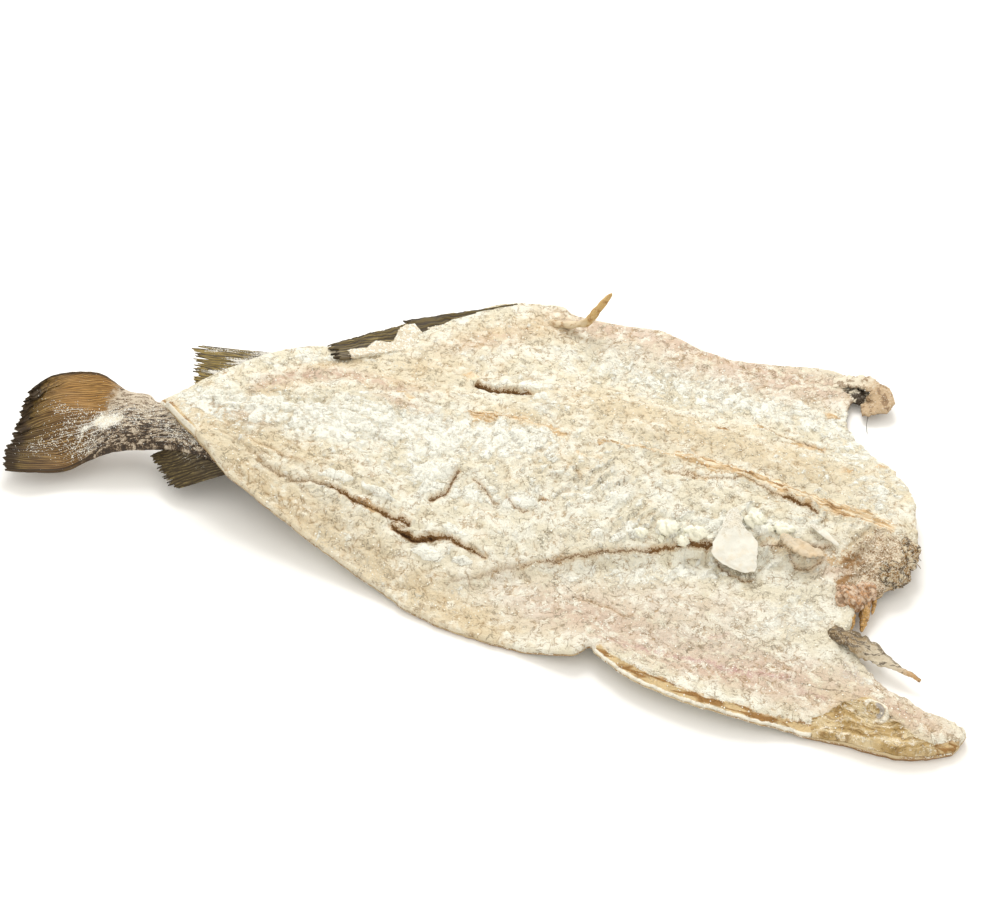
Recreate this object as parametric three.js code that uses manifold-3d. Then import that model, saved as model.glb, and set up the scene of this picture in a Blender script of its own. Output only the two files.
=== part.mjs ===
// Salted dried cod: a beheaded fish split along the belly, opened flat and dried, flesh side up.
// One closed solid: the opened fillet slab, the tail stalk with its fin, the fins left along the
// edges, and the flakes, shreds and curled ends that stand off the slab.
// Millimetres. +X runs from the tail to the neck, +Y to the edge that carries the belly fins, and
// +Z is up. The fish lies on z = 0, with the origin under the middle of its bounding box.
import * as THREE from "three";
import { mergeVertices } from "three/addons/utils/BufferGeometryUtils.js";
import { ImprovedNoise } from "three/addons/math/ImprovedNoise.js";
import Module from "manifold-3d";

const wasm = await Module();
wasm.setup();

// ---- driving dimensions ----

const TAIL_LIFT = { height: 33, fromX: 0, length: 215 }; // the tail half curls up off the table
const NEAR_RIM_LIFT = { height: 9, fromX: 50, toX: 250, reach: 0.2 }; // reach: share of the width
const FAR_RIM_LIFT = { height: 10, frontHeight: 4, fromX: -130, reach: 0.32 };
const NAPE_LIFT = { height: 7, fromX: 200 };

const RIM_THICKNESS = 5; // belly flaps, at their rims
const FLAP_THICKNESS = 9; // belly flaps, where they meet the loin
const LEAST_THICKNESS = 3.5; // under the deepest crack
const COLLAR_HEIGHT = 6; // folded skin that thickens the front tip of the near flap
const RIM_BULGE = 1.4; // how far the rounded rim stands out

const STALK_HALF_THICKNESS = 9; // tail stalk, at the middle of its width
const STALK_FROM_X = -285; // the fin thickens into the stalk over this length
const STALK_RUN = 45;
const STALK_ROOT_X = -200; // the stalk fades into the slab's underside over this length
const STALK_ROOT_RUN = 100;
const FIN_THICKNESS = 2;

const SLAB_GRID = { along: 76, across: 32 }; // both even: the underside takes every second line
const TAIL_GRID = { along: 20, across: 10 };
const FIN_GRID = { along: 4, across: 8 };

// Outline of the slab seen from above, as smooth curves through these points.
const SLAB_OUTLINE = {
  // from the stalk to the front tip of the near belly flap
  near: [
    [-160, -90], [-103, -112], [-49, -131], [0, -147], [50, -152], [86, -152],
    [98, -143], [108, -150], [141, -164], [190, -169], [249, -164], [292, -164], [318, -152],
  ],
  // from the stalk to the front tip of the far belly flap
  far: [
    [-229, -44], [-219, -28], [-200, 3], [-171, 38], [-141, 57], [-115, 76], [-101, 86],
    [-88, 110], [-70, 130], [-50, 151], [-14, 164], [0, 158], [34, 157], [63, 160], [95, 150],
    [125, 149], [167, 159], [192, 160], [210, 148],
  ],
  // the diagonal end of the cut, across the stalk
  start: [[-160, -90], [-189, -70], [-211, -55], [-229, -44]],
  // the neck cut, from the near tip to the far tip
  end: [
    [318, -152], [321, -138], [290, -127], [266, -114], [247, -90], [243, -60], [262, -38],
    [271, -10], [264, 30], [248, 62], [225, 84], [210, 104], [204, 128], [210, 148],
  ],
};

// The tail stalk and tail fin, from the fin's trailing edge to where they fade under the slab.
const TAIL_OUTLINE = {
  near: [
    [-317, -112], [-298, -111], [-278, -102], [-256, -87], [-232, -76], [-208, -70],
    [-180, -74], [-150, -74], [-95, -50],
  ],
  far: [
    [-317, -58], [-313, -43], [-301, -33], [-283, -31], [-268, -35], [-257, -38], [-242, -36],
    [-229, -40], [-196, -14], [-150, 8], [-95, 2],
  ],
  start: [[-317, -112], [-318, -94], [-319, -76], [-317, -58]],
  end: [[-95, -50], [-95, 2]],
};
// Heights of the middle plane at the near and the far edge: the fin leans down to the near side.
const FIN_PLANE = [11, 37];
const STALK_PLANE = [23, 31];

// The line of the removed backbone, and the flesh's thickness along it, as [x, value] points.
const SPINE_LINE = [
  [-229, -50], [-147, -6], [-84, 14], [-41, 18], [31, 16], [127, 11], [208, 2], [300, -8],
];
const SPINE_THICKNESS = [
  [-240, 7], [-160, 12], [-84, 21], [0, 26], [80, 28], [160, 26], [230, 21], [290, 12],
];
// Where the thick loin steps down to the belly flap: a short step on the near side, a slope on
// the far side.
const NEAR_STEP = {
  run: 14,
  line: [
    [-300, -200], [-117, -160], [-40, -135], [4, -118], [44, -94], [84, -74], [142, -49],
    [203, -34], [300, -36],
  ],
};
const FAR_STEP = {
  run: 34,
  line: [[-300, 200], [-60, 190], [0, 120], [38, 92], [110, 80], [181, 70], [300, 72]],
};

// Cuts and cracks that open in the flesh: a path, its half width and its depth.
const CRACKS = [
  { path: [[-117, -76], [-87, -74], [-60, -81], [-22, -95], [18, -95]], half: 5, depth: 5 },
  { path: [[-29, -72], [-23, -62], [-20, -48]], half: 4.5, depth: 4 },
  { path: [[-32, 48], [-18, 42], [6, 46]], half: 5.5, depth: 7 },
  { path: [[170, 8], [195, 0], [226, -12]], half: 5, depth: 4 },
];
// Strips and folds that stand up out of the flesh.
const RIDGES = [
  { path: [[31, 18], [127, 12], [208, 4], [262, -3]], half: 6, height: 3 },
  { path: [[231, -159], [251, -146], [270, -140], [308, -148]], half: 6, height: 3 },
  { path: [[-125, -68], [-80, -62], [-45, -76], [-15, -84]], half: 6, height: 2 },
  { path: [[150, 76], [181, 71], [214, 78]], half: 6, height: 2 },
];

// Fins: the two ends of the base and of the row of ray tips, as [x, y, z].
const FINS = {
  secondAnal: { base: [[-203, -18, 34], [-146, 45, 29]], tips: [[-219, -16, 33], [-235, 24, 32]] },
  firstAnalRear: { base: [[-133, 50, 26], [-86, 88, 20]], tips: [[-146, 58, 30], [-104, 101, 26]] },
  firstAnalFront: { base: [[-90, 88, 21], [-44, 144, 16]], tips: [[-103, 101, 26], [-62, 149, 21]] },
  thirdDorsal: { base: [[-211, -66, 21], [-163, -82, 27]], tips: [[-226, -74, 16], [-201, -94, 9]] },
  secondDorsal: { base: [[-150, -56, 24], [-92, -38, 13]], tips: [[-176, -66, 18], [-134, -72, 20]] },
};

// Strips that hang or lie over, as stations of [x, y, z, width, thickness].
const STRIPS = {
  paleFlake: [
    [157, -16, 22, 10, 5], [160, -32, 20, 22, 3], [164, -46, 17.5, 27, 2.4], [168, -60, 13.5, 14, 2],
  ],
  smallFlake: [[196, -18, 22, 8, 5], [203, -27, 20, 18, 3], [210, -37, 16, 9, 2]],
  membrane: [
    [228, -84, 10, 16, 5], [245, -90, 11, 14, 4], [262, -95, 10, 12, 3], [276, -101, 8.5, 5, 2.4],
    [290, -106, 7, 4, 2],
  ],
  farCurl: [
    [188, 147, 8, 18, 5], [205, 149, 11, 14, 4], [218, 148, 14, 11, 4], [226, 141, 12, 13, 4],
    [222, 133, 7, 15, 4], [213, 132, 5, 9, 3],
  ],
};
// Shreds, as points along a round rod and its radius.
const SHREDS = {
  farRim: {
    points: [[-14, 144, 15], [-2, 141, 19], [12, 140, 25], [20, 145, 35], [28, 151, 47]],
    radius: 2.3,
  },
  gutLeft: { points: [[236, -56, 10], [238, -66, 7], [240, -73, 5]], radius: 2.2 },
  gutRight: { points: [[247, -54, 10], [249, -64, 6.5], [250, -72, 4]], radius: 2.6 },
};
// Rounded lumps of torn gut wall, nape and the floor of the far curl: a centre and its radii.
const LUMPS = {
  gutWall: { centre: [240, -56, 12], radii: [10, 9, 6] },
  gutKnob: { centre: [249, -49, 13], radii: [7, 8, 5] },
  napeEnd: { centre: [260, -30, 13], radii: [11, 10, 7] },
  napeSide: { centre: [266, -10, 14], radii: [8, 14, 7] },
  curlHollow: { centre: [211, 141, 6], radii: [9, 8, 3] },
};

// ---- small helpers ----

const noise = new ImprovedNoise();
const clamp01 = (t) => Math.min(1, Math.max(0, t));
const smooth = (t) => clamp01(t) ** 2 * (3 - 2 * clamp01(t));
const mix = (a, b, t) => a + (b - a) * t;
const mixPoints = (a, b, t) => a.map((v, k) => mix(v, b[k], t));
/** 0 at both ends of a width and 1 at its middle, as the height of a half circle. */
const halfRound = (w) => Math.sqrt(Math.max(0, 1 - (2 * w - 1) ** 2));

/** The value at x on straight runs through [x, value] points. */
function valueAt(points, x) {
  const next = points.findIndex(([px]) => px > x);
  if (next === 0) return points[0][1];
  if (next < 0) return points.at(-1)[1];
  const [x0, v0] = points[next - 1];
  const [x1, v1] = points[next];
  return mix(v0, v1, (x - x0) / (x1 - x0));
}

/** Distance from (x, y) to a path of straight runs. */
function distanceTo(path, x, y) {
  let nearest = Infinity;
  for (let k = 1; k < path.length; k++) {
    const [ax, ay] = path[k - 1];
    const [dx, dy] = [path[k][0] - ax, path[k][1] - ay];
    const t = clamp01(((x - ax) * dx + (y - ay) * dy) / (dx * dx + dy * dy));
    nearest = Math.min(nearest, Math.hypot(x - ax - t * dx, y - ay - t * dy));
  }
  return nearest;
}

const curvesOf = (outline) => Object.fromEntries(Object.entries(outline).map(([side, points]) =>
  [side, new THREE.SplineCurve(points.map(([x, y]) => new THREE.Vector2(x, y)))]));

/** A point inside an outline of four curves, u along it and w across from near to far. */
function pointInside({ near, far, start, end }, u, w) {
  const corners = [near.getPoint(0), near.getPoint(1), far.getPoint(0), far.getPoint(1)];
  const [n, f, s, e] = [near.getPointAt(u), far.getPointAt(u), start.getPointAt(w), end.getPointAt(w)];
  return ["x", "y"].map((k) => {
    const [nearStart, nearEnd, farStart, farEnd] = corners.map((c) => c[k]);
    const bilinear = mix(mix(nearStart, nearEnd, u), mix(farStart, farEnd, u), w);
    return mix(n[k], f[k], w) + mix(s[k], e[k], u) - bilinear;
  });
}

// ---- closed solids ----

function solidOfGeometry(geometry) {
  geometry.deleteAttribute("normal");
  geometry.deleteAttribute("uv");
  const merged = mergeVertices(geometry, 1e-4);
  const triangles = [];
  for (let k = 0; k < merged.index.count; k += 3) {
    const corners = [0, 1, 2].map((c) => merged.index.getX(k + c));
    if (new Set(corners).size === 3) triangles.push(...corners);
  }
  return new wasm.Manifold(new wasm.Mesh({
    numProp: 3,
    vertProperties: merged.attributes.position.array,
    triVerts: new Uint32Array(triangles),
  }));
}

/** Grid places round one underside cell, with the rim's in-between places where it meets the rim. */
function cellRing(i, j, step, along, across) {
  const between = (onRim, place) => (step === 2 && onRim ? [place] : []);
  return [
    [i, j], ...between(i === 0, [i, j + 1]),
    [i, j + step], ...between(j + step === across, [i + 1, j + step]),
    [i + step, j + step], ...between(i + step === along, [i + step, j + 1]),
    [i + step, j], ...between(j === 0, [i + 1, j]),
  ];
}

/** Grid places all the way round the rim, seen from above against the clock. */
function rimOf(along, across) {
  const rim = [];
  for (let i = 0; i < along; i++) rim.push([i, 0]);
  for (let j = 0; j < across; j++) rim.push([along, j]);
  for (let i = along; i > 0; i--) rim.push([i, across]);
  for (let j = across; j > 0; j--) rim.push([0, j]);
  return rim;
}

/**
 * A sheet of varying thickness: place(u, w) gives [x, y, low, high], with u along and w across.
 * A middle row round its rim stands out by bulge. A coarse sheet's underside takes every second
 * line of the grid.
 */
function sheet({ along, across, place, bulge = 0.3, coarse = false }) {
  const step = coarse ? 2 : 1;
  const rows = Array.from({ length: along + 1 }, (_, i) =>
    Array.from({ length: across + 1 }, (_, j) => place(i / along, j / across)));
  const points = [];
  const addPoint = (p) => points.push(p) - 1;
  const high = rows.map((row) => row.map(([x, y, , z]) => addPoint([x, y, z])));
  const low = rows.map((row) => row.map(([x, y, z]) => addPoint([x, y, z])));
  const triangles = [];

  for (let i = 0; i < along; i++) {
    for (let j = 0; j < across; j++) {
      const [a, b, c, d] = [high[i][j], high[i + 1][j], high[i + 1][j + 1], high[i][j + 1]];
      triangles.push(...((i + j) % 2 ? [a, b, c, a, c, d] : [a, b, d, b, c, d]));
    }
  }

  for (let i = 0; i < along; i += step) {
    for (let j = 0; j < across; j += step) {
      const ring = cellRing(i, j, step, along, across).map(([p, q]) => low[p][q]);
      if (ring.length === 4) {
        triangles.push(ring[0], ring[1], ring[2], ring[0], ring[2], ring[3]);
      } else {
        const hub = low[i + 1][j + 1];
        ring.forEach((corner, k) => triangles.push(hub, corner, ring[(k + 1) % ring.length]));
      }
    }
  }

  const rim = rimOf(along, across);
  const wrap = (k) => (k + rim.length) % rim.length;
  const middle = rim.map(([i, j], k) => {
    const [before, after] = [rim[wrap(k - 1)], rim[wrap(k + 1)]].map(([p, q]) => rows[p][q]);
    const [dx, dy] = [after[0] - before[0], after[1] - before[1]];
    const out = bulge / Math.hypot(dx, dy);
    const [x, y, bottom, top] = rows[i][j];
    return addPoint([x + dy * out, y - dx * out, (bottom + top) / 2]);
  });
  rim.forEach(([i, j], k) => {
    const [p, q] = rim[wrap(k + 1)];
    const [here, next] = [middle[k], middle[wrap(k + 1)]];
    triangles.push(low[i][j], low[p][q], next, low[i][j], next, here);
    triangles.push(here, next, high[p][q], here, high[p][q], high[i][j]);
  });

  const geometry = new THREE.BufferGeometry();
  geometry.setAttribute("position", new THREE.Float32BufferAttribute(points.flat(), 3));
  geometry.setIndex(triangles);
  return solidOfGeometry(geometry);
}

/** Turns a sheet's across direction round where it would come out face down. */
function faceUp(place) {
  const [o, a, b] = [place(0, 0), place(1, 0), place(0, 1)];
  const turn = (a[0] - o[0]) * (b[1] - o[1]) - (a[1] - o[1]) * (b[0] - o[0]);
  return turn > 0 ? place : (u, w) => place(u, 1 - w);
}

// ---- heights of the slab ----

const tailLift = (x) => TAIL_LIFT.height * smooth((TAIL_LIFT.fromX - x) / TAIL_LIFT.length);

/** Height of the skin side above the table; across runs from 0 on the near rim to 1. */
function underside(x, y, across) {
  const nearRim = NEAR_RIM_LIFT.height * smooth(1 - across / NEAR_RIM_LIFT.reach)
    * smooth((x - NEAR_RIM_LIFT.fromX) / 50) * smooth((NEAR_RIM_LIFT.toX - x) / 70);
  const farRim = mix(FAR_RIM_LIFT.height, FAR_RIM_LIFT.frontHeight, smooth((x - 60) / 100))
    * smooth(1 - (1 - across) / FAR_RIM_LIFT.reach) * smooth((x - FAR_RIM_LIFT.fromX) / 90);
  const nape = NAPE_LIFT.height * smooth((x - NAPE_LIFT.fromX) / 60) * smooth((y + 110) / 50);
  return tailLift(x) + nearRim + farRim + nape;
}

/** Thickness of the flesh: a thick loin along the spine, stepping down to the belly flaps. */
function thickness(x, y, across) {
  const spineY = valueAt(SPINE_LINE, x);
  const nearSide = y < spineY;
  const step = nearSide ? NEAR_STEP : FAR_STEP;
  const stepY = valueAt(step.line, x);
  const fromRim = 2 * (nearSide ? across : 1 - across);
  const flap = mix(RIM_THICKNESS, FLAP_THICKNESS, smooth(fromRim * 1.6));
  const outToStep = clamp01((y - spineY) / (stepY - spineY));
  const loin = valueAt(SPINE_THICKNESS, x) * (1 - 0.38 * outToStep ** 2) * smooth(0.3 + fromRim * 0.95);
  const pastStep = (nearSide ? stepY - y : y - stepY) / step.run;
  const collar = COLLAR_HEIGHT * smooth((x - 225) / 45) * smooth((-112 - y) / 18);
  return mix(Math.max(loin, flap), flap, smooth(pastStep + 0.42)) + collar;
}

/** What cracks, folds and torn flakes add to the flesh side. */
function relief(x, y) {
  const bell = (path, half) => Math.exp(-((distanceTo(path, x, y) / half) ** 2));
  const cut = CRACKS.reduce((sum, c) => sum + c.depth * bell(c.path, c.half), 0);
  const raised = RIDGES.reduce((sum, r) => sum + r.height * bell(r.path, r.half), 0);
  const swells = 1.5 * noise.noise(x / 46, y / 40, 3.1);
  const slantingFlakes = 1.1 * noise.noise((x - y * 0.7) / 13, (x + y * 1.4) / 55, 7.7);
  return raised - cut + swells + slantingFlakes;
}

// ---- the fish ----

/** The opened fillet, with its skin side down. */
function filletSlab() {
  const outline = curvesOf(SLAB_OUTLINE);
  const place = (u, w) => {
    const [x, y] = pointInside(outline, u, w);
    const low = underside(x, y, w);
    const inside = smooth(Math.min(u * 12, (1 - u) * 10, w * 8, (1 - w) * 8));
    const neckTaper = mix(0.8, 1, smooth((1 - u) * 14));
    const high = low + thickness(x, y, w) * neckTaper + relief(x, y) * inside;
    return [x, y, low, Math.max(high, low + LEAST_THICKNESS)];
  };
  return sheet({ ...SLAB_GRID, place, bulge: RIM_BULGE, coarse: true });
}

/** The tail fin and the rounded stalk, which fades into the slab's underside. */
function stalkAndTailFin() {
  const outline = curvesOf(TAIL_OUTLINE);
  const rays = 15;
  const place = (u, w) => {
    const [x, y] = pointInside(outline, u, w);
    const stalk = smooth((x - STALK_FROM_X) / STALK_RUN);
    const root = smooth((x - STALK_ROOT_X) / STALK_ROOT_RUN);
    const fin = 1 - stalk;
    const ripple = 1.6 * Math.sin(w * 9 + u * 20) * fin;
    const plane = mix(mix(...FIN_PLANE, w), mix(...STALK_PLANE, w), stalk);
    const middle = mix(plane, tailLift(x) + 6, root) + ripple;
    const ray = 0.18 * Math.sin(w * Math.PI * rays) * fin;
    const round = 1 + (STALK_HALF_THICKNESS - 1) * halfRound(w);
    const half = mix(mix(FIN_THICKNESS / 2, round, stalk), 1.5, root) + ray;
    const ragged = u === 0 ? 2.5 * Math.cos(w * Math.PI * rays) : 0;
    return [x + ragged, y, middle - half, middle + half];
  };
  return sheet({ ...TAIL_GRID, place, bulge: 0.6 });
}

/** A folded fin: rays run from its base to a ragged row of tips. */
function fin({ base, tips }) {
  const rayWave = (w) => Math.cos(w * Math.PI * 8);
  const place = (u, w) => {
    const from = mixPoints(...base, w);
    const to = mixPoints(...tips, w);
    const [x, y, z] = mixPoints(from, to, u * (0.94 + 0.08 * rayWave(w)));
    const half = mix(0.65, 0.35, u) * FIN_THICKNESS + 0.2 * rayWave(w);
    return [x, y, z - half, z + half];
  };
  return sheet({ ...FIN_GRID, place: faceUp(place) });
}

/** A strip of flesh, skin or membrane along its stations. */
function strip(stations) {
  const line = new THREE.CatmullRomCurve3(stations.map(([x, y, z]) => new THREE.Vector3(x, y, z)));
  const share = (k) => stations.map((station, n) => [n / (stations.length - 1), station[k]]);
  const [widths, thicknesses] = [share(3), share(4)];
  const place = (u, w) => {
    const { x, y, z } = line.getPoint(u);
    const run = line.getTangent(u);
    const side = (w - 0.5) * valueAt(widths, u) / Math.hypot(run.x, run.y);
    const half = valueAt(thicknesses, u) / 2 * mix(0.45, 1, halfRound(w));
    return [x - run.y * side, y + run.x * side, z - half, z + half];
  };
  return sheet({ along: stations.length * 2 - 1, across: 4, place: faceUp(place) });
}

/** A bent round shred. */
function shred({ points, radius }) {
  const path = new THREE.CatmullRomCurve3(points.map((p) => new THREE.Vector3(...p)));
  const section = new THREE.Shape();
  section.absarc(0, 0, radius, 0, Math.PI * 2);
  return solidOfGeometry(new THREE.ExtrudeGeometry(section, {
    steps: points.length * 2 - 1,
    curveSegments: 4,
    extrudePath: path,
  }));
}

function lump({ centre, radii }) {
  const ball = new THREE.SphereGeometry(1, 10, 7);
  ball.scale(...radii);
  ball.translate(...centre);
  return solidOfGeometry(ball);
}

/** The whole fish as one solid, lying on z = 0 with the middle of its box over the origin. */
function wholeFish() {
  const pieces = [
    stalkAndTailFin(),
    ...Object.values(FINS).map(fin),
    ...Object.values(STRIPS).map(strip),
    ...Object.values(SHREDS).map(shred),
    ...Object.values(LUMPS).map(lump),
  ];
  const joined = pieces.reduce((fish, piece) => fish.add(piece), filletSlab());
  const { min, max } = joined.boundingBox();
  return joined.translate([-(min[0] + max[0]) / 2, -(min[1] + max[1]) / 2, -min[2]]);
}

function geometryOf(solid) {
  const mesh = solid.getMesh();
  const geometry = new THREE.BufferGeometry();
  geometry.setAttribute("position", new THREE.BufferAttribute(mesh.vertProperties, 3));
  geometry.setIndex(new THREE.BufferAttribute(mesh.triVerts, 1));
  geometry.computeVertexNormals();
  return geometry;
}

const saltedFlesh = new THREE.MeshStandardMaterial({ color: 0xe9dfc4, roughness: 0.85, metalness: 0 });
const fish = new THREE.Mesh(geometryOf(wholeFish()), saltedFlesh);
fish.name = "salted_cod";

const saltedDriedCod = new THREE.Group();
saltedDriedCod.add(fish);

export default saltedDriedCod;
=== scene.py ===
import math

import bpy
import numpy as np
from mathutils import Matrix, Vector


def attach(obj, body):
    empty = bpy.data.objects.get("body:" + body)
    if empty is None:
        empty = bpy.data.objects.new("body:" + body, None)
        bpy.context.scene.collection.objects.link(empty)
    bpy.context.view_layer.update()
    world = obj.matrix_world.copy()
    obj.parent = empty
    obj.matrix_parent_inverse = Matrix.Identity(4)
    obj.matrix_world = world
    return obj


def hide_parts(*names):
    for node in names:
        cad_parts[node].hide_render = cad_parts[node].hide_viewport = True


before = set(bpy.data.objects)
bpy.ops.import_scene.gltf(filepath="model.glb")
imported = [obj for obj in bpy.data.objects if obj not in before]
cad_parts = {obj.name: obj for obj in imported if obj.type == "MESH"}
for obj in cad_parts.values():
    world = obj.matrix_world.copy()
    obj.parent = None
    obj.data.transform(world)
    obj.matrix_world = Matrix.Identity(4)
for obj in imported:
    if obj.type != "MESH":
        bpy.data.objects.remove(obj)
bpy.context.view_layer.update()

TO_FRAME = (-0.92, 2.64, 0.0)  # from the plan to the frame, mm

# ---- the shape's driving sizes, as in the solids ----

TAIL_LIFT = {"height": 33, "from_x": 0, "length": 215}
NEAR_RIM_LIFT = {"height": 9, "from_x": 50, "to_x": 250, "reach": 0.2}
FAR_RIM_LIFT = {"height": 10, "front_height": 4, "from_x": -130, "reach": 0.32}
NAPE_LIFT = {"height": 7, "from_x": 200}

RIM_THICKNESS = 5
FLAP_THICKNESS = 9
LEAST_THICKNESS = 3
COLLAR = {"height": 6, "from_x": 225, "to_y": -112}  # the thick neck end of the near flap
RIM_BULGE = 1.4

STALK_HALF_THICKNESS = 9
STALK_FROM_X = -285
STALK_RUN = 45
STALK_ROOT_X = -200
STALK_ROOT_RUN = 100
FIN_THICKNESS = 2

SLAB_OUTLINE = {
    "near": [
        (-160, -90), (-103, -112), (-49, -131), (0, -147), (50, -152), (86, -152), (98, -143),
        (108, -150), (141, -164), (190, -169), (249, -164), (292, -164), (318, -152),
    ],
    "far": [
        (-229, -44), (-219, -28), (-200, 3), (-171, 38), (-141, 57), (-115, 76), (-101, 86), (-88, 110),
        (-70, 130), (-50, 151), (-14, 164), (0, 158), (34, 157), (63, 160), (95, 150), (125, 149),
        (167, 159), (192, 160), (210, 148),
    ],
    "start": [(-160, -90), (-189, -70), (-211, -55), (-229, -44)],
    "end": [
        (318, -152), (321, -138), (290, -127), (266, -114), (247, -90), (243, -60), (262, -38),
        (271, -10), (264, 30), (248, 62), (225, 84), (210, 104), (204, 128), (210, 148),
    ],
}
TAIL_OUTLINE = {
    "near": [
        (-317, -112), (-298, -111), (-278, -102), (-256, -87), (-232, -76), (-208, -70),
        (-180, -74), (-150, -74), (-95, -50),
    ],
    "far": [
        (-317, -58), (-313, -43), (-301, -33), (-283, -31), (-268, -35), (-257, -38), (-242, -36),
        (-229, -40), (-196, -14), (-150, 8), (-95, 2),
    ],
    "start": [(-317, -112), (-318, -94), (-319, -76), (-317, -58)],
    "end": [(-95, -50), (-95, 2)],
}
FIN_PLANE = (11, 37)
STALK_PLANE = (23, 31)

SPINE_LINE = [
    (-229, -50), (-147, -6), (-84, 14), (-41, 18), (31, 16), (127, 11), (208, 2), (300, -8),
]
SPINE_THICKNESS = [
    (-240, 7), (-160, 12), (-84, 21), (0, 26), (80, 28), (160, 26), (230, 21), (290, 12),
]
NEAR_STEP = {
    "run": 10,
    "line": [
        (-300, -200), (-117, -160), (-40, -135), (4, -118), (44, -94), (84, -74), (142, -49),
        (203, -34), (300, -36),
    ],
}
FAR_STEP = {
    "run": 34,
    "line": [(-300, 200), (-60, 190), (0, 120), (38, 92), (110, 80), (181, 70), (300, 72)],
}

# Cuts and cracks: the path, half the width at its start and end, the depth, how dark the painted shade
# inside is.
CUTS = [
    ([(-190, -56), (-172, -63), (-155, -70), (-138, -78)], 0.0, 0.0, 1.6, 0.3),
    ([(-148, -76), (-133, -79), (-121, -82), (-106, -79), (-95, -78)], 0.0, 0.3, 3.0, 0.6),
    ([(-101, -78), (-90, -79), (-78, -82), (-63, -84), (-44, -86), (-34, -90)], 0.4, 0.7, 3.6, 1.0),
    ([(-52, -87), (-46, -92), (-40, -95), (-33, -97), (-26, -95), (-20, -92)], 0.6, 1.5, 5, 1.0),
    ([(-26, -94), (-15, -91), (-6, -91), (2, -92), (10, -94), (20, -98)], 0.7, 0.2, 3.4, 1.0),
    ([(-35, -66), (-29, -63), (-25, -56), (-24, -46), (-23, -37), (-21, -31)], 0.6, 0.1, 3.6, 0.9),
    ([(-14, -38), (-8, -42), (-2, -46), (3, -51), (7, -56), (12, -54)], 0.1, 0.0, 1.6, 0.8),
    ([(10, -46), (17, -52), (26, -57), (31, -55)], 0.0, 0.1, 1.6, 0.7),
    ([(34, -46), (40, -43)], 0.5, 0.5, 2.0, 0.6),
    ([(-43, 57), (-38, 55), (-31, 53), (-23, 52), (-15, 53), (-7, 54), (4, 58)], 1.9, 0.0, 6, 1.0),
    ([(-5, -119), (11, -112), (27, -101), (40, -93)], 0.0, 0.0, 1.6, 0.4),
    ([(32, -97), (49, -88), (72, -78), (95, -66), (118, -56)], 0.0, 0.3, 2.4, 0.8),
    ([(106, -61), (121, -54), (136, -48), (150, -42), (178, -33)], 0.3, 0.7, 2.8, 1.0),
    ([(176, -35), (184, -34), (192, -28), (202, -27), (212, -25), (226, -21)], 0.1, 0.1, 1.6, 0.8),
    ([(190, -27), (197, -34), (204, -38), (213, -36), (221, -30)], 0.0, 0.1, 1.2, 0.7),
    ([(151, -47), (157, -53), (166, -58), (175, -60), (182, -56)], 0.1, 0.3, 1.0, 0.7),
    ([(110, 8), (132, 6), (157, 11), (174, 8), (186, 6)], 0.0, 0.1, 1.5, 0.7),
    ([(180, 7), (191, 6), (199, 4), (210, 0)], 0.7, 0.4, 3, 1.0),
    ([(102, 3), (116, 5), (129, 4)], 0.0, 0.0, 1.5, 0.7),
    ([(-168, -60), (-150, -62), (-132, -68), (-112, -70)], 0.0, 0.0, 1.0, 0.5),
    ([(74, -106), (87, -105), (101, -108), (111, -110), (118, -108)], 0.0, 0.0, 0.9, 0.6),
    ([(150, 85), (166, 80), (182, 75), (204, 71)], 0.0, 0.1, 1.4, 0.7),
]
# White chunks of crust: x, y, half length, half width, turn in degrees, height.
CHUNKS = [
    (120, -43, 9, 7, 20, 3.2), (136, -42, 8, 6, 10, 3.2), (104, -51, 6, 4, 0, 2.6),
    (93, -57, 6, 4, 20, 2.2), (78, -62, 6, 4, 25, 1.8), (172, -20, 8, 6, 0, 2.6),
    (188, -20, 9, 5, 10, 2.6), (178, -25, 8, 3, 0, 1.8),
    (-40, -44, 19, 12, 30, 3.2), (-34, -55, 11, 7, 20, 2.0), (-28, -38, 6, 9, 10, 1.6),
    (-6, 63, 11, 5, 5, 2.6), (-22, 61, 6, 5, 0, 2.6), (8, 52, 6, 5, 0, 1.2),
    (123, 93, 4, 2.6, 0, 1.8), (18, -52, 8, 5, 20, 1.4), (28, -49, 9, 4, 25, 1.8),
    (-62, -74, 18, 4, -14, 1.8), (-95, -71, 16, 4, 5, 1.6), (-8, -84, 12, 4, -10, 1.8),
    (-20, -103, 14, 6, -8, 1.6), (2, -104, 10, 5, 0, 1.2),
]


# ---- sums on whole grids of points ----

def smooth(t):
    """0 to 1 with a soft start and end."""
    t = np.clip(t, 0, 1)
    return t * t * (3 - 2 * t)


def mix(a, b, t):
    return a + (b - a) * t


def value_at(points, x):
    """The value at x on straight runs through (x, value) points."""
    places, values = zip(*points)
    return np.interp(x, places, values)


def half_round(w):
    """0 at both ends of a width and 1 at its middle, as the height of a half circle."""
    return np.sqrt(np.clip(1 - (2 * w - 1) ** 2, 0, 1))


def swells(x, y, size, seed, octaves=1):
    """Soft random waves between about -1 and 1, size millimetres from one to the next."""
    total, strength = 0, 1.0
    for octave in range(octaves):
        heights = np.random.default_rng(seed * 31 + octave).uniform(-1, 1, (199, 211))
        i, j = x / size + 40, y / size + 40
        i0, j0 = np.floor(i).astype(int), np.floor(j).astype(int)
        s, t = smooth(i - i0), smooth(j - j0)
        corner = [[heights[(i0 + a) % 199, (j0 + b) % 211] for b in (0, 1)] for a in (0, 1)]
        total = total + strength * mix(
            mix(corner[0][0], corner[1][0], s), mix(corner[0][1], corner[1][1], s), t)
        size, strength = size / 2, strength / 2
    return total


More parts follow.
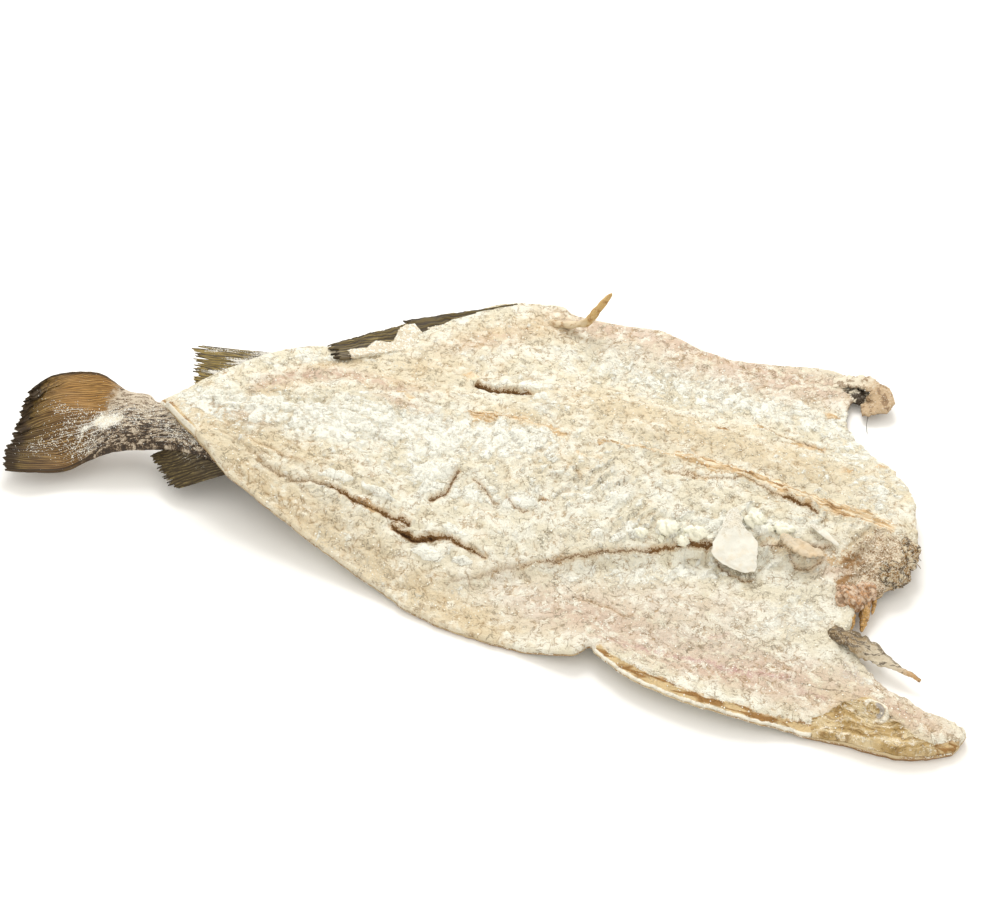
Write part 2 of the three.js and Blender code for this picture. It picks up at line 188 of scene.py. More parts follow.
def crust_grains(x, y, size, seed):
    """Grains grown together: how far (x, y) is inside its grain, and that grain's own height."""
    rng = np.random.default_rng(seed)
    centres = rng.uniform(0, 1, (199, 211, 2))
    heights = rng.uniform(0, 1, (199, 211))
    i, j = x / size + 40, y / size + 40
    i0, j0 = np.floor(i).astype(int), np.floor(j).astype(int)
    nearest = np.full(np.shape(i), 9.0)
    second = nearest.copy()
    height = np.zeros(np.shape(i))
    for a in (-1, 0, 1):
        for b in (-1, 0, 1):
            cell = ((i0 + a) % 199, (j0 + b) % 211)
            away = np.hypot(i0 + a + centres[cell][..., 0] - i, j0 + b + centres[cell][..., 1] - j)
            closer = away < nearest
            second = np.where(closer, nearest, np.minimum(second, away))
            height = np.where(closer, heights[cell], height)
            nearest = np.where(closer, away, nearest)
    return second - nearest, height


def beside_path(path, x, y):
    """Distance from a path of straight runs, the share along it, and the side (1 is left)."""
    nearest = np.full(np.shape(x), 1e9)
    share, side = np.zeros(np.shape(x)), np.zeros(np.shape(x))
    for k, ((ax, ay), (bx, by)) in enumerate(zip(path, path[1:])):
        dx, dy = bx - ax, by - ay
        t = np.clip(((x - ax) * dx + (y - ay) * dy) / (dx * dx + dy * dy), 0, 1)
        away = np.hypot(x - ax - t * dx, y - ay - t * dy)
        closer = away < nearest
        nearest = np.where(closer, away, nearest)
        share = np.where(closer, (k + t) / (len(path) - 1), share)
        side = np.where(closer, np.sign((y - ay) * dx - (x - ax) * dy), side)
    return nearest, share, side


def along_and_across(x, y, cx, cy, turn):
    """Distances along and across an axis through (cx, cy), turned by degrees."""
    c, s = math.cos(math.radians(turn)), math.sin(math.radians(turn))
    return (x - cx) * c + (y - cy) * s, (y - cy) * c - (x - cx) * s


def patches(rows, x, y):
    """Soft oval patches of (x, y, half length, half width, turn in degrees, strength)."""
    clear = 1.0
    for cx, cy, length, width, turn, strength in rows:
        along, across = along_and_across(x, y, cx, cy, turn)
        clear = clear * (1 - strength * np.exp(-(along / length) ** 2 - (across / width) ** 2))
    return 1 - clear


def near_path(path, half, x, y):
    """1 on a path, falling softly to about a third at half its width."""
    return np.exp(-(beside_path(path, x, y)[0] / half) ** 2)


class Line:
    """A smooth line through points, read by its share of length, with a torn edge if asked."""

    def __init__(self, points, torn=0, seed=0):
        points = np.array(points, float)
        ends = np.vstack([points[:1], points, points[-1:]])
        t = np.linspace(0, 1, 60, endpoint=False)[:, None]
        runs = []
        for before, start, end, after in zip(ends, ends[1:], ends[2:], ends[3:]):
            leave, arrive = (end - before) / 2, (after - start) / 2
            runs.append(
                start + leave * t + (3 * (end - start) - 2 * leave - arrive) * t ** 2
                + (2 * (start - end) + leave + arrive) * t ** 3)
        self.points = np.vstack(runs + [points[-1:]])
        steps = np.linalg.norm(np.diff(self.points, axis=0), axis=1)
        length = np.r_[0, np.cumsum(steps)]
        self.share = length / length[-1]
        if torn:
            run = np.gradient(self.points, axis=0)
            run /= np.linalg.norm(run, axis=1)[:, None]
            step = swells(length, 0 * length, 9, seed) + 0.7 * swells(length, 0 * length, 2.7, seed + 1)
            step *= torn * smooth(np.minimum(self.share, 1 - self.share) * 30)
            self.points[:, :2] += np.stack([run[:, 1], -run[:, 0]], -1) * step[:, None]

    def at(self, t):
        return np.stack([np.interp(t, self.share, k) for k in self.points.T], -1)


def inside(outline, u, w):
    """Places inside four lines, u along them and w across from near to far."""
    near, far, start, end = (outline[side] for side in ("near", "far", "start", "end"))
    along, across = u[..., None], w[..., None]
    corners = mix(mix(near.at(0), near.at(1), along), mix(far.at(0), far.at(1), along), across)
    place = mix(near.at(u), far.at(u), across) + mix(start.at(w), end.at(w), along) - corners
    return place[..., 0], place[..., 1]


def grid(along, across):
    return np.linspace(0, 1, along + 1)[:, None], np.linspace(0, 1, across + 1)[None, :]


# ---- heights of the slab ----

def tail_lift(x):
    return TAIL_LIFT["height"] * smooth((TAIL_LIFT["from_x"] - x) / TAIL_LIFT["length"])


def underside(x, y, w):
    """Height of the skin side above the table; w is 0 on the near rim and 1 on the far rim."""
    near_rim = (NEAR_RIM_LIFT["height"] * smooth(1 - w / NEAR_RIM_LIFT["reach"])
                * smooth((x - NEAR_RIM_LIFT["from_x"]) / 50)
                * smooth((NEAR_RIM_LIFT["to_x"] - x) / 70))
    far_height = mix(FAR_RIM_LIFT["height"], FAR_RIM_LIFT["front_height"], smooth((x - 60) / 100))
    far_rim = (far_height * smooth(1 - (1 - w) / FAR_RIM_LIFT["reach"])
               * smooth((x - FAR_RIM_LIFT["from_x"]) / 90))
    nape = NAPE_LIFT["height"] * smooth((x - NAPE_LIFT["from_x"]) / 60) * smooth((y + 110) / 50)
    return tail_lift(x) + near_rim + far_rim + nape


def thickness(x, y, w):
    """Thickness of the flesh: a thick loin along the spine, stepping down to the belly flaps."""
    spine_y = value_at(SPINE_LINE, x)
    near_side = y < spine_y
    step_y = np.where(near_side, value_at(NEAR_STEP["line"], x), value_at(FAR_STEP["line"], x))
    run = np.where(near_side, NEAR_STEP["run"], FAR_STEP["run"])
    from_rim = 2 * np.where(near_side, w, 1 - w)
    flap_thick = mix(RIM_THICKNESS, FLAP_THICKNESS, smooth(from_rim * 1.6))
    out_to_step = np.clip((y - spine_y) / (step_y - spine_y), 0, 1)
    loin = (value_at(SPINE_THICKNESS, x) * (1 - 0.38 * out_to_step ** 2)
            * smooth(0.3 + from_rim * 0.95))
    past_step = np.where(near_side, step_y - y, y - step_y) / run
    collar = (COLLAR["height"] * smooth((x - COLLAR["from_x"]) / 45)
              * smooth((COLLAR["to_y"] - y) / 18))
    return mix(np.maximum(loin, flap_thick), flap_thick, smooth(past_step + 0.45)) + collar


# ---- meshes ----

class Shape:
    """Points, faces and masks: what a piece's mesh is made of."""

    def __init__(self, points, faces, masks=None):
        self.points = np.asarray(points, float)
        self.faces = np.asarray(faces, int)
        self.masks = masks or {}

    def __add__(self, other):
        masks = {
            name: np.concatenate([
                shape.masks.get(name, np.zeros(len(shape.points))) for shape in (self, other)])
            for name in {**self.masks, **other.masks}
        }
        faces = np.concatenate([self.faces, other.faces + len(self.points)])
        return Shape(np.concatenate([self.points, other.points]), faces, masks)


def half_shell(x, y, face, other, masks, bulge, rows, reach=0.5, up=True):
    """One face of a sheet, with its rim turned over towards the other face."""
    x, y, face, other = np.broadcast_arrays(x, y, face, other)
    along, across = x.shape
    place = np.arange(along * across).reshape(along, across)
    loop = np.r_[place[:-1, 0], place[-1, :-1], place[:0:-1, -1], place[0, :0:-1]]
    points = [np.stack([x, y, face], -1).reshape(-1, 3)]
    rim, rim_other = points[0][loop], other.reshape(-1)[loop]
    faces = [np.stack([place[:-1, :-1], place[1:, :-1], place[1:, 1:], place[:-1, 1:]], -1)
             .reshape(-1, 4)]
    run = np.roll(rim[:, :2], -1, 0) - np.roll(rim[:, :2], 1, 0)
    out = np.stack([run[:, 1], -run[:, 0]], -1) / np.linalg.norm(run, axis=1)[:, None]
    ring, first = loop, along * across
    for row in range(1, rows + 1):
        turn = math.pi * reach * row / rows
        step = out * bulge * math.sin(turn)
        height = mix(rim[:, 2], rim_other, (1 - math.cos(turn)) / 2)
        points.append(np.column_stack([rim[:, :2] + step, height]))
        next_ring = first + np.arange(len(loop))
        faces.append(np.stack([ring, next_ring, np.roll(next_ring, -1), np.roll(ring, -1)], -1))
        ring, first = next_ring, first + len(loop)
    faces = np.concatenate(faces)
    flat = {
        name: np.broadcast_to(values, x.shape).reshape(-1) for name, values in masks.items()
    }
    masks = {name: np.r_[values, np.tile(values[loop], rows)] for name, values in flat.items()}
    masks["turned"] = np.r_[
        np.zeros(along * across), np.repeat(np.arange(1, rows + 1) / rows, len(loop))]
    return Shape(np.concatenate(points), faces if up else faces[:, ::-1], masks)


def leaf(x, y, low, high, masks, bulge, rows=1):
    """A closed thin sheet, whichever way round its grid is laid."""
    du = (x[1, 0] - x[0, 0], y[1, 0] - y[0, 0])
    dw = (x[0, 1] - x[0, 0], y[0, 1] - y[0, 0])
    if du[0] * dw[1] < du[1] * dw[0]:
        shape = x.shape
        x, y, low, high = (k[:, ::-1] for k in np.broadcast_arrays(x, y, low, high))
        masks = {name: np.broadcast_to(k, shape)[:, ::-1] for name, k in masks.items()}
    top = half_shell(x, y, high, low, masks, bulge=bulge, rows=rows)
    bottom = half_shell(x, y, low, high, masks, bulge=bulge, rows=rows, up=False)
    top.masks["below"] = np.zeros(len(top.points))
    bottom.masks["below"] = np.ones(len(bottom.points))
    return top + bottom


def add_piece(name, shape, finish, faceted=False):
    mesh = bpy.data.meshes.new(name)
    mesh.from_pydata(((shape.points + TO_FRAME) / 1000).tolist(), [], shape.faces.tolist())
    if not faceted:
        mesh.shade_smooth()
    for mask, values in shape.masks.items():
        layer = mesh.attributes.new(mask, "FLOAT", "POINT")
        layer.data.foreach_set("value", values.astype(np.float32))
    mesh.materials.append(finish)
    piece = bpy.data.objects.new(name, mesh)
    bpy.context.collection.objects.link(piece)
    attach(piece, "root")
    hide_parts("salted_cod")


# ---- finishes ----

LIGHT_LEVEL = 1.3  # how bright a white card lies in the studio light
FLESH_LEVEL = 1.06  # and how bright on rough flesh, which shades itself


def colour(red, green, blue, level=LIGHT_LEVEL):
    """A colour as it should look under the studio light, in steps of 255."""
    linear = [((k / 255 + 0.055) / 1.055) ** 2.4 for k in (red, green, blue)]
    return (*(min(k / level, 0.93) for k in linear), 1.0)


def flesh_colour(red, green, blue):
    return colour(red, green, blue, FLESH_LEVEL)


class Wire:
    """A node's output, with sums written as in Python."""

    def __init__(self, finish, socket):
        self.finish = finish
        self.socket = socket

    def sum_of(self, operation, a, b=0):
        return self.finish.node("ShaderNodeMath", {"operation": operation}, {0: a, 1: b})

    def __add__(self, other):
        return self.sum_of("ADD", self, other)

    def __radd__(self, other):
        return self.sum_of("ADD", other, self)

    def __sub__(self, other):
        return self.sum_of("SUBTRACT", self, other)

    def __rsub__(self, other):
        return self.sum_of("SUBTRACT", other, self)

    def __mul__(self, other):
        return self.sum_of("MULTIPLY", self, other)

    def __rmul__(self, other):
        return self.sum_of("MULTIPLY", other, self)

    def __abs__(self):
        return self.sum_of("ABSOLUTE", self)

    def sine(self):
        return self.sum_of("SINE", self)

    def step(self, start, end):
        """0 below start, 1 above end, and a smooth step between."""
        return self.finish.node("ShaderNodeMapRange", {"interpolation_type": "SMOOTHSTEP"}, {
            "Value": self, "From Min": start, "From Max": end})

    def fall(self, start, end):
        """1 below start, 0 above end, and a smooth step between."""
        return (0 - self).step(-end, -start)

    def creases(self, thin):
        """Thin curling lines, 1 where the value crosses one half."""
        return 1 - abs(self - 0.5).step(0, thin)


class Finish:
    """A material written node by node, over a place measured in millimetres."""

    def __init__(self, name, roughness=0.85, specular=0.3, level=LIGHT_LEVEL):
        self.level = level
        self.material = bpy.data.materials.new(name)
        self.material.use_nodes = True
        self.tree = self.material.node_tree
        self.tree.nodes.clear()
        self.shader = self.tree.nodes.new("ShaderNodeBsdfPrincipled")
        self.shader.inputs["Roughness"].default_value = roughness
        self.shader.inputs["Specular IOR Level"].default_value = specular
        output = self.tree.nodes.new("ShaderNodeOutputMaterial")
        self.tree.links.new(self.shader.outputs[0], output.inputs["Surface"])
        where = self.node("ShaderNodeTexCoord", output="Object")
        self.place = self.stretched(where, 1000, 1000, 1000)

    def node(self, kind, settings=None, inputs=None, output=0):
        node = self.tree.nodes.new(kind)
        for key, value in (settings or {}).items():
            setattr(node, key, value)
        for key, value in (inputs or {}).items():
            self.feed(node.inputs[key], value)
        return Wire(self, node.outputs[output])

    def feed(self, socket, value):
        if isinstance(value, Wire):
            self.tree.links.new(value.socket, socket)
        else:
            socket.default_value = value

    def stretched(self, place, x, y, z):
        """A place with its axes scaled."""
        return self.node(
            "ShaderNodeVectorMath", {"operation": "MULTIPLY"}, {0: place, 1: (x, y, z)})

    def warped(self, size, reach):
        """A place pushed about by clouds of noise, by as much as reach millimetres."""
        push = self.node("ShaderNodeTexNoise", None, {
            "Vector": self.place, "Scale": 1 / size, "Detail": 1.0}, "Color")
        push = self.node(
            "ShaderNodeVectorMath", {"operation": "SUBTRACT"}, {0: push, 1: (0.5, 0.5, 0.5)})
        return self.node("ShaderNodeVectorMath", {"operation": "MULTIPLY_ADD"}, {
            0: push, 1: (2 * reach,) * 3, 2: self.place})

    def beside(self, across, along, more=0.0):
        """A place on a sheet of rays, from masks across and along them."""
        return self.node("ShaderNodeCombineXYZ", None, {0: across, 1: along, 2: more})

    def mask(self, name):
        return self.node("ShaderNodeAttribute", {"attribute_name": name}, output="Fac")

    def masks(self, *names):
        return [self.mask(name) for name in names]

    def noise(self, size, detail, place=None, roughness=0.5, distortion=0.0):
        """Cloudy noise from 0 to 1, size millimetres from one cloud to the next."""
        return self.node("ShaderNodeTexNoise", None, {
            "Vector": place or self.place, "Scale": 1 / size, "Detail": detail,
            "Roughness": roughness, "Distortion": distortion})

    def grains(self, size, place):
        """Grains of one size: the distance from a grain's middle."""
        return self.node("ShaderNodeTexVoronoi", None, {"Vector": place, "Scale": 1 / size})

    def tone(self, paint):
        """Steps of 255 turned into a colour under this finish's light; a made colour as it is."""
        if isinstance(paint, Wire) or len(paint) == 4:
            return paint
        return colour(*paint, self.level)

    def blend(self, under, over, share):
        """One colour over another."""
        return self.node("ShaderNodeMix", {"data_type": "RGBA"}, {
            0: share, 6: self.tone(under), 7: self.tone(over)}, 2)

    def coats(self, paint, *coats):
        """Coats of (colour, share) laid one over another."""
        for over, share in coats:
            paint = self.blend(paint, over, share)
        return paint

    def done(self, paint, relief, height):
        """The material, with its paint and its relief, height millimetres high."""
        bump = self.node("ShaderNodeBump", None, {"Height": relief, "Distance": height / 1000})
        self.feed(self.shader.inputs["Base Color"], paint)
        self.feed(self.shader.inputs["Normal"], bump)
        return self.material


def flesh_finish():
    finish = Finish("salted_flesh", 0.9, 0.15, FLESH_LEVEL)
    crust, tan, pink, grey, stain = finish.masks("crust", "tan", "pink", "grey", "stain")
    rust, cut_shade, raised, curd = finish.masks("rust", "cut_shade", "raised", "curd")
    clouds = finish.noise(15, 3)
    lumps = finish.noise(3.8, 4, roughness=0.62)
    ruffles = finish.noise(7.5, 3, roughness=0.6, distortion=0.5)
    grit = finish.noise(0.95, 2, roughness=0.65)
    curls = finish.noise(2.7, 2, place=finish.warped(2.5, 1.2))
    sparse = finish.noise(5.5, 2).step(0.42, 0.6)
    lumpy, ruffled, gritty = lumps - 0.5, ruffles - 0.5, grit - 0.5

    # Raised places are painted whiter on top of the salt: a painted highlight on the relief.
    whiteness = crust * 1.15 + raised * 0.9 - pink * 0.22
    white = (whiteness + lumpy * 2.0 + ruffled * 1.4 + gritty * 0.5).step(0.32, 0.78)
    # Dark lines and specks: partly bare flesh between the grains of salt, partly painted shade in the
    # creases and clefts between lumps.
    cleft_shade = 1 - abs(finish.mask("clods") + lumpy * 0.9).step(0, 0.12)
    curl_lines = curls.creases(0.035) * grit.step(0.42, 0.6)
    ruffle_lines = (ruffles + gritty * 0.12).creases(0.035) * sparse
    specks = grit.step(0.62, 0.72)
    gaps_and_shade = curl_lines * (0.35 + 0.5 * sparse) + specks * (0.15 + 0.5 * sparse)
    gaps_and_shade = gaps_and_shade + ruffle_lines * 0.8 + cleft_shade * lumps.step(0.36, 0.58) * 0.75
    gap_and_shade_paint = finish.blend((182, 150, 108), (150, 134, 108), clouds.step(0.45, 0.6))

    strand_across, fish_along = finish.masks("strand_across", "fish_along")
    strands = finish.noise(2.3, 2, place=finish.beside(strand_across + lumpy * 1.6, fish_along))
    strand_paint = finish.coats(
        (250, 236, 208),
        ((222, 190, 146), strands.step(0.4, 0.54)),
        ((158, 118, 76), (strands + specks * 0.1).step(0.56, 0.65) * 0.85))

    curdle = finish.noise(4.6, 4, roughness=0.65, distortion=0.6)
    curd_paint = finish.coats(
        (224, 206, 180),
        ((176, 148, 116), curdle.step(0.42, 0.56)),
        ((120, 90, 60), (curdle + specks * 0.1).step(0.58, 0.7) * 0.85),
        ((84, 62, 42), grit.step(0.61, 0.7) * 0.7),
        ((248, 238, 218), grit.fall(0.4, 0.5) * 0.85))

    rim_skin, rim_edge = finish.masks("rim_skin", "rim_edge")
    along_rim = finish.stretched(finish.place, 0.3, 1.6, 1.6)
    # The skin turned up over the near rim: its browns are partly the skin's own tone, partly painted
    # shade from under the rim.
    rim_paint = finish.coats(
        (222, 196, 150),
        ((166, 126, 78), finish.noise(6, 3, place=along_rim, distortion=0.5).step(0.44, 0.58)),
        ((254, 248, 232), (rim_edge + lumpy * 1.1).step(0.62, 0.92)))

    ear, fold_across, right_of_ring = finish.masks("ear", "fold_across", "right_of_ring")
    from_ring = finish.mask("from_ring") + lumpy * 1.6
    fold_place = finish.beside(fold_across + ruffled * 7 + lumpy * 3, fish_along * 2)
    folds = finish.noise(4.6, 4, place=fold_place)
    fine_folds = finish.noise(1.5, 2, place=fold_place)
    over_ring = (fold_across + right_of_ring * 0.8).step(20, 26)
    white_fold = (1 - abs(from_ring - 7.4).step(0.8, 2.4)) * over_ring
    crescent = (1 - abs(from_ring - 4).step(1.1, 1.7)) * right_of_ring.step(-0.5, 1.5)
    # The ear's dark fold lines are partly the skin's tone, partly painted shade in the creases; its
    # white flecks are painted highlights on the folds.
    ear_paint = finish.coats(
        (230, 212, 174),
        ((194, 165, 114), folds.step(0.36, 0.58)),
        ((146, 116, 66), folds.step(0.54, 0.68) * 0.8),
        ((142, 110, 66), fine_folds.step(0.5, 0.64) * 0.7),
        ((252, 244, 228), (lumps + grit * 0.6 - folds * 0.4).step(0.68, 0.8) * 0.7),
        ((252, 244, 226), white_fold),
        ((184, 176, 168), crescent))

    cut_across, cut_width = finish.masks("cut_across", "cut_width")
    opened = cut_width - abs(cut_across + lumpy * 3.0 + gritty * 2.4)
    paint = finish.coats(
        (249, 247, 233),
        ((236, 229, 207), clouds.step(0.4, 0.58)),
        ((226, 208, 174), tan * (clouds + lumps).step(0.62, 1.02)),
        ((216, 190, 170), pink * (lumps + ruffles).step(0.72, 1.08)),
        ((222, 218, 204), grey * (lumps + grit).step(0.8, 1.2)),
        ((255, 255, 243), white),
        ((198, 146, 148), stain * (lumps + grit).step(0.8, 1.1) * 0.85),
        (gap_and_shade_paint, gaps_and_shade.step(0, 1) * (0.74 - 0.5 * crust)),
        # painted shade: low places in the relief are laid tan-brown
        ((204, 172, 128), raised.fall(-1.1, -0.3) * 0.55),
        (strand_paint, (rust + lumpy * 1.1 + gritty * 0.4).step(0.3, 0.62)),
        (curd_paint, (curd + lumpy * 2.4).step(0.3, 0.8)),
        (rim_paint, (rim_skin + gritty * 0.5).step(0.35, 0.65)),
        (ear_paint, (ear + lumpy * 1.1).step(0.4, 0.62)),
        # brown along the torn edges, then painted shade inside the crack, near black at its middle
        ((208, 170, 122), opened.step(-2.4, 0.2) * cut_shade * 0.6),
        ((122, 86, 46), opened.step(-0.5, 0) * cut_shade * 0.95),
        ((58, 36, 18), opened.step(0.4, 1.1) * cut_shade))
    relief = lumps * 1.2 + abs(ruffled) * 3.0 + grit * 0.7 - gaps_and_shade * 0.4 + white * 0.3
    relief = relief + rust * strands * -1.2 + ear * (folds * -1.6 - grit * 0.4)
    return finish.done(paint, relief, 1.1)


# ---- the opened fillet ----

NEAR_BANDS = {"lean": -0.45, "pitch": 10}  # flakes of the loin lean towards the neck
FAR_BANDS = {"lean": 0.5, "pitch": 12}
LOIN_BANDS = {"from_x": -20, "to_x": 275}
STREAKS_FROM = (-260, -62)  # the point in the stalk that the tail half's streaks fan out from


def slab_lines():
    torn = {"near": 0.6, "far": 0.5, "start": 0.25, "end": 1.6}
    return {
        side: Line(points, torn[side], seed)
        for seed, (side, points) in enumerate(SLAB_OUTLINE.items(), start=11)
    }


def flake_bands(x, y):
    """Rows of muscle flakes: a slow rise and a sudden drop, mirrored at the spine."""
    spine_y = value_at(SPINE_LINE, x)
    near_side = y < spine_y
    lean = np.where(near_side, NEAR_BANDS["lean"], FAR_BANDS["lean"])
    pitch = np.where(near_side, NEAR_BANDS["pitch"], FAR_BANDS["pitch"])
    bend = 6 * swells(x, y, 24, 51, 2) + 2.6 * swells(x, y, 6, 52, 2)
    phase = (x + lean * y + bend) / pitch
    rise = phase - np.floor(phase)
    loin = smooth((x - LOIN_BANDS["from_x"]) / 70) * smooth((LOIN_BANDS["to_x"] - x) / 40)
    reach = np.exp(-((y - spine_y) / np.where(near_side, 72, 60)) ** 4)
    patchy = smooth(0.45 + swells(x, y, 17, 53, 2) * 1.1) * np.where(near_side, 1, 0.55)
    return (rise ** 1.3 - smooth((rise - 0.86) / 0.14) - 0.25) * loin * reach * patchy


def tail_streaks(x, y):
    """Long ridges that fan out from the stalk over the tail half."""
    dx, dy = x - STREAKS_FROM[0], y - STREAKS_FROM[1]
    away, turn = np.hypot(dx, dy), np.degrees(np.arctan2(dy, dx))
    return swells(turn * 4, away / 5, 9, 61, 2) * smooth((40 - x) / 130)


# Patches of colour on the flesh: x, y, half length, half width, turn in degrees, strength.
PATCHES = {
    "crust": [
        (-178, -38, 24, 15, 10, 0.9), (-206, -36, 14, 20, 60, 0.9), (-150, -30, 40, 14, 0, 0.5),
        (-110, -26, 52, 19, 10, 0.9), (-45, -4, 55, 20, 4, 1.0), (5, 6, 28, 13, 0, 1.0),
        (-2, 67, 13, 7, 0, 0.9), (15, 44, 12, 12, 0, 0.6), (70, 108, 60, 16, -4, 0.6),
        (150, 106, 50, 15, -2, 0.8), (215, 82, 26, 30, 0, 0.6), (242, 34, 15, 26, 0, 0.5),
        (120, -74, 60, 8, 22, 0.7), (208, -84, 38, 20, 30, 0.6), (265, -118, 25, 10, -10, 0.6),
        (-12, -52, 22, 8, 0, 0.6), (60, -30, 60, 10, 15, 0.4), (-150, 38, 40, 6, 35, 0.5),
        (150, -28, 60, 9, 18, 0.7), (-40, -44, 18, 12, 30, 0.7),
    ],
    "tan": [
        (140, 46, 110, 26, -3, 0.9), (185, 44, 26, 14, -8, 0.7), (60, 66, 50, 22, 0, 0.6),
        (-50, -118, 75, 15, -18, 0.75), (14, -141, 30, 9, 0, 1.0), (-78, 58, 44, 13, 20, 0.7),
        (-164, -12, 24, 8, 55, 0.8), (-140, 36, 26, 8, 42, 0.9), (-86, 33, 38, 8, 6, 0.9),
        (4, 27, 32, 7, -8, 0.9), (-48, 112, 44, 13, 42, 0.9), (-14, 140, 24, 14, 30, 0.9),
        (250, -20, 26, 22, 0, 0.9), (30, -8, 40, 20, 10, 0.4), (-190, -48, 30, 7, -8, 0.7),
        (-120, -58, 50, 10, -8, 0.6), (262, -142, 50, 14, 0, 1.0), (-200, -58, 34, 6, -32, 0.5),
        (-120, -98, 70, 9, -22, 1.0), (-120, -94, 46, 11, -22, 0.4), (-30, -128, 60, 8, -20, 0.7),
        (-160, 70, 34, 9, 24, 0.6), (0, -132, 44, 9, -12, 1.0), (30, -143, 16, 8, 0, 1.0),
        (-150, -64, 44, 7, -14, 0.7),
    ],
    "pink": [
        (-165, -2, 16, 6, 55, 0.9), (-148, 14, 22, 7, 30, 1.0), (-126, 29, 16, 6, 10, 1.0),
        (-98, 28, 26, 6, 4, 0.9), (-80, 12, 24, 5, -4, 0.7), (-152, 74, 36, 7, 22, 0.5),
        (-176, -42, 24, 6, -4, 0.8), (100, 148, 90, 12, -3, 0.9), (172, 140, 44, 16, 0, 0.8),
        (92, -118, 62, 20, -4, 0.9), (195, -122, 66, 12, -2, 1.0), (180, -142, 60, 9, -2, 1.0),
        (285, -138, 28, 9, -14, 1.0), (270, -118, 14, 12, 40, 0.6), (150, -92, 60, 18, 6, 0.5),
        (20, 150, 34, 12, 0, 0.7), (-48, 106, 38, 10, 42, 0.6), (105, 130, 60, 14, 0, 0.6),
        (235, -36, 22, 10, 0, 0.8),
    ],
    "grey": [
        (4, -49, 27, 10, -14, 1.0), (-60, -4, 100, 20, 8, 0.35), (80, 118, 70, 16, -4, 0.7),
        (120, 40, 90, 30, -3, 0.4), (-92, -86, 36, 7, -12, 0.8), (70, -64, 50, 9, 24, 0.7),
        (-60, -122, 60, 14, -18, 0.6), (215, -56, 22, 12, 0, 0.6), (253, -12, 18, 14, 0, 0.9),
        (175, -118, 40, 12, 0, 0.5), (60, -22, 40, 16, 20, 0.5), (150, -100, 80, 20, 0, 0.5),
    ],
    "rust": [
        (-46, 62, 6, 3, 20, 0.9), (5, 150, 9, 3, 10, 1.0), (130, 66, 5, 3, 0, 0.9),
        (243, -29, 15, 6, -6, 0.9), (237, -44, 9, 7, 0, 1.0), (-25, 20, 14, 5, 5, 0.9),
        (28, 18, 14, 3, -20, 1.0), (216, 52, 7, 5, 0, 0.7), (238, 66, 5, 4, 0, 0.6),
        (258, 34, 4, 6, 0, 0.6), (186, 72, 18, 3, 8, 0.8), (152, 86, 5, 2.5, -30, 0.8),
        (-66, -84, 16, 4, -8, 0.7), (60, 2, 10, 4, 0, 0.5), (48, 4, 6, 3, 0, 0.6),
        (200, -30, 30, 4, 0, 0.7), (262, -12, 8, 12, 0, 0.5), (-152, 6, 4, 3, 0, 0.5),
        (38, -44, 6, 3, 30, 0.55), (195, 114, 7, 4, 0, 0.7), (-24, 140, 3, 8, 30, 0.4),
        (-84, 24, 8, 3, 0, 0.7), (-74, 20, 5, 3, 0, 0.7), (-20, 25, 9, 3, 0, 0.8),
    ],
    "stain": [
        (132, -133, 16, 2.6, 0, 0.6), (160, -133, 18, 2.4, 2, 0.8), (188, -134, 14, 3.2, -4, 1.0),
        (206, -131, 16, 3.0, 4, 0.9), (234, -138, 12, 3.0, -10, 0.6), (112, -136, 10, 3, 0, 0.5),
        (166, -110, 8, 1.6, 20, 0.5), (250, -112, 8, 5, -30, 0.4),
    ],
}
# The ear of turned skin: the line along its top, and the middle of its round fold.
EAR_EDGE = [
    (228, -150), (236, -153), (241, -150), (248, -145), (256, -140), (266, -133), (276, -138),
    (284, -147), (292, -151), (304, -154), (316, -157),
]
EAR_FROM_X = 226
EAR_RING = (271, -144)
# The torn, curdled flesh at the neck, and the same beside the ear as one patch.
TORN_NECK = {"from_x": 226, "from_y": -72, "to_y": 8}
TORN_EDGE = (269, -121, 11, 3.5, -60, 0.9)
# The middle of the dried strands along the spine.
STRAND_LINE = [(58, 17), (85, 19), (112, 20), (126, 19), (154, 17), (194, 12), (221, 7), (252, 2)]
# Brown lines: the path, half the width, the strength.
RUST_LINES = [
    ([(-34, 18), (-22, 20), (-11, 26), (0, 25), (11, 24), (21, 22), (38, 16)], 2.4, 0.6),
    (STRAND_LINE[:4], 3, 0.6),
    (STRAND_LINE[2:], 6.5, 0.85),
    ([(110, 9), (140, 6), (170, 3), (215, -3)], 1.6, 0.4),
    ([(-30, 130), (-10, 136), (10, 140), (30, 141)], 1.2, 0.5),
]
# Raised ridges: the path, half the width, the height.
RIDGES = [
    ([(31, 18), (127, 19), (208, 12), (262, 4)], 3, 2.4),
    ([(150, 12), (208, 5), (250, -3)], 2.5, 2.0),
    ([(231, -159), (251, -146), (270, -140), (308, -148)], 5, 3.0),
    ([(254, -162), (272, -152), (290, -149), (316, -153)], 3, 1.6),
    ([(-125, -68), (-80, -64), (-45, -80), (-15, -86)], 5, 2.0),
    ([(150, 78), (181, 75), (214, 80)], 5, 1.8),
    ([(150, -29), (170, -24), (196, -20), (222, -14)], 6, 1.2),
]
# Heights of the relief of the flesh and sizes of its grains of crust.
RELIEF = {"hills": 1.5, "lumps": 0.8, "mounds": 0.75, "bands": 3.7, "streaks": 1.2}
GRAIN_SIZES = {"coarse": 5.6, "fine": 2.9}
RIM_BAND = {"from_x": 98, "share": 0.017}  # bare skin that turns up over the near rim
SLAB_GRID = (416, 228)  # faces along and across the flesh


def slab_grid(along, across):
    """The slab's plan with its underside, its thickness and how far it is within the rim."""
    u, w = grid(along, across)
    x, y = inside(slab_lines(), u, w)
    within = smooth(np.minimum(
        np.minimum(u * 14, (1 - u) * 14), np.minimum(w * 12, (1 - w) * 12)))
    thick = thickness(x, y, w) * mix(0.8, 1, smooth((1 - u) * 14))
    return u, w, x, y, underside(x, y, w), thick, within


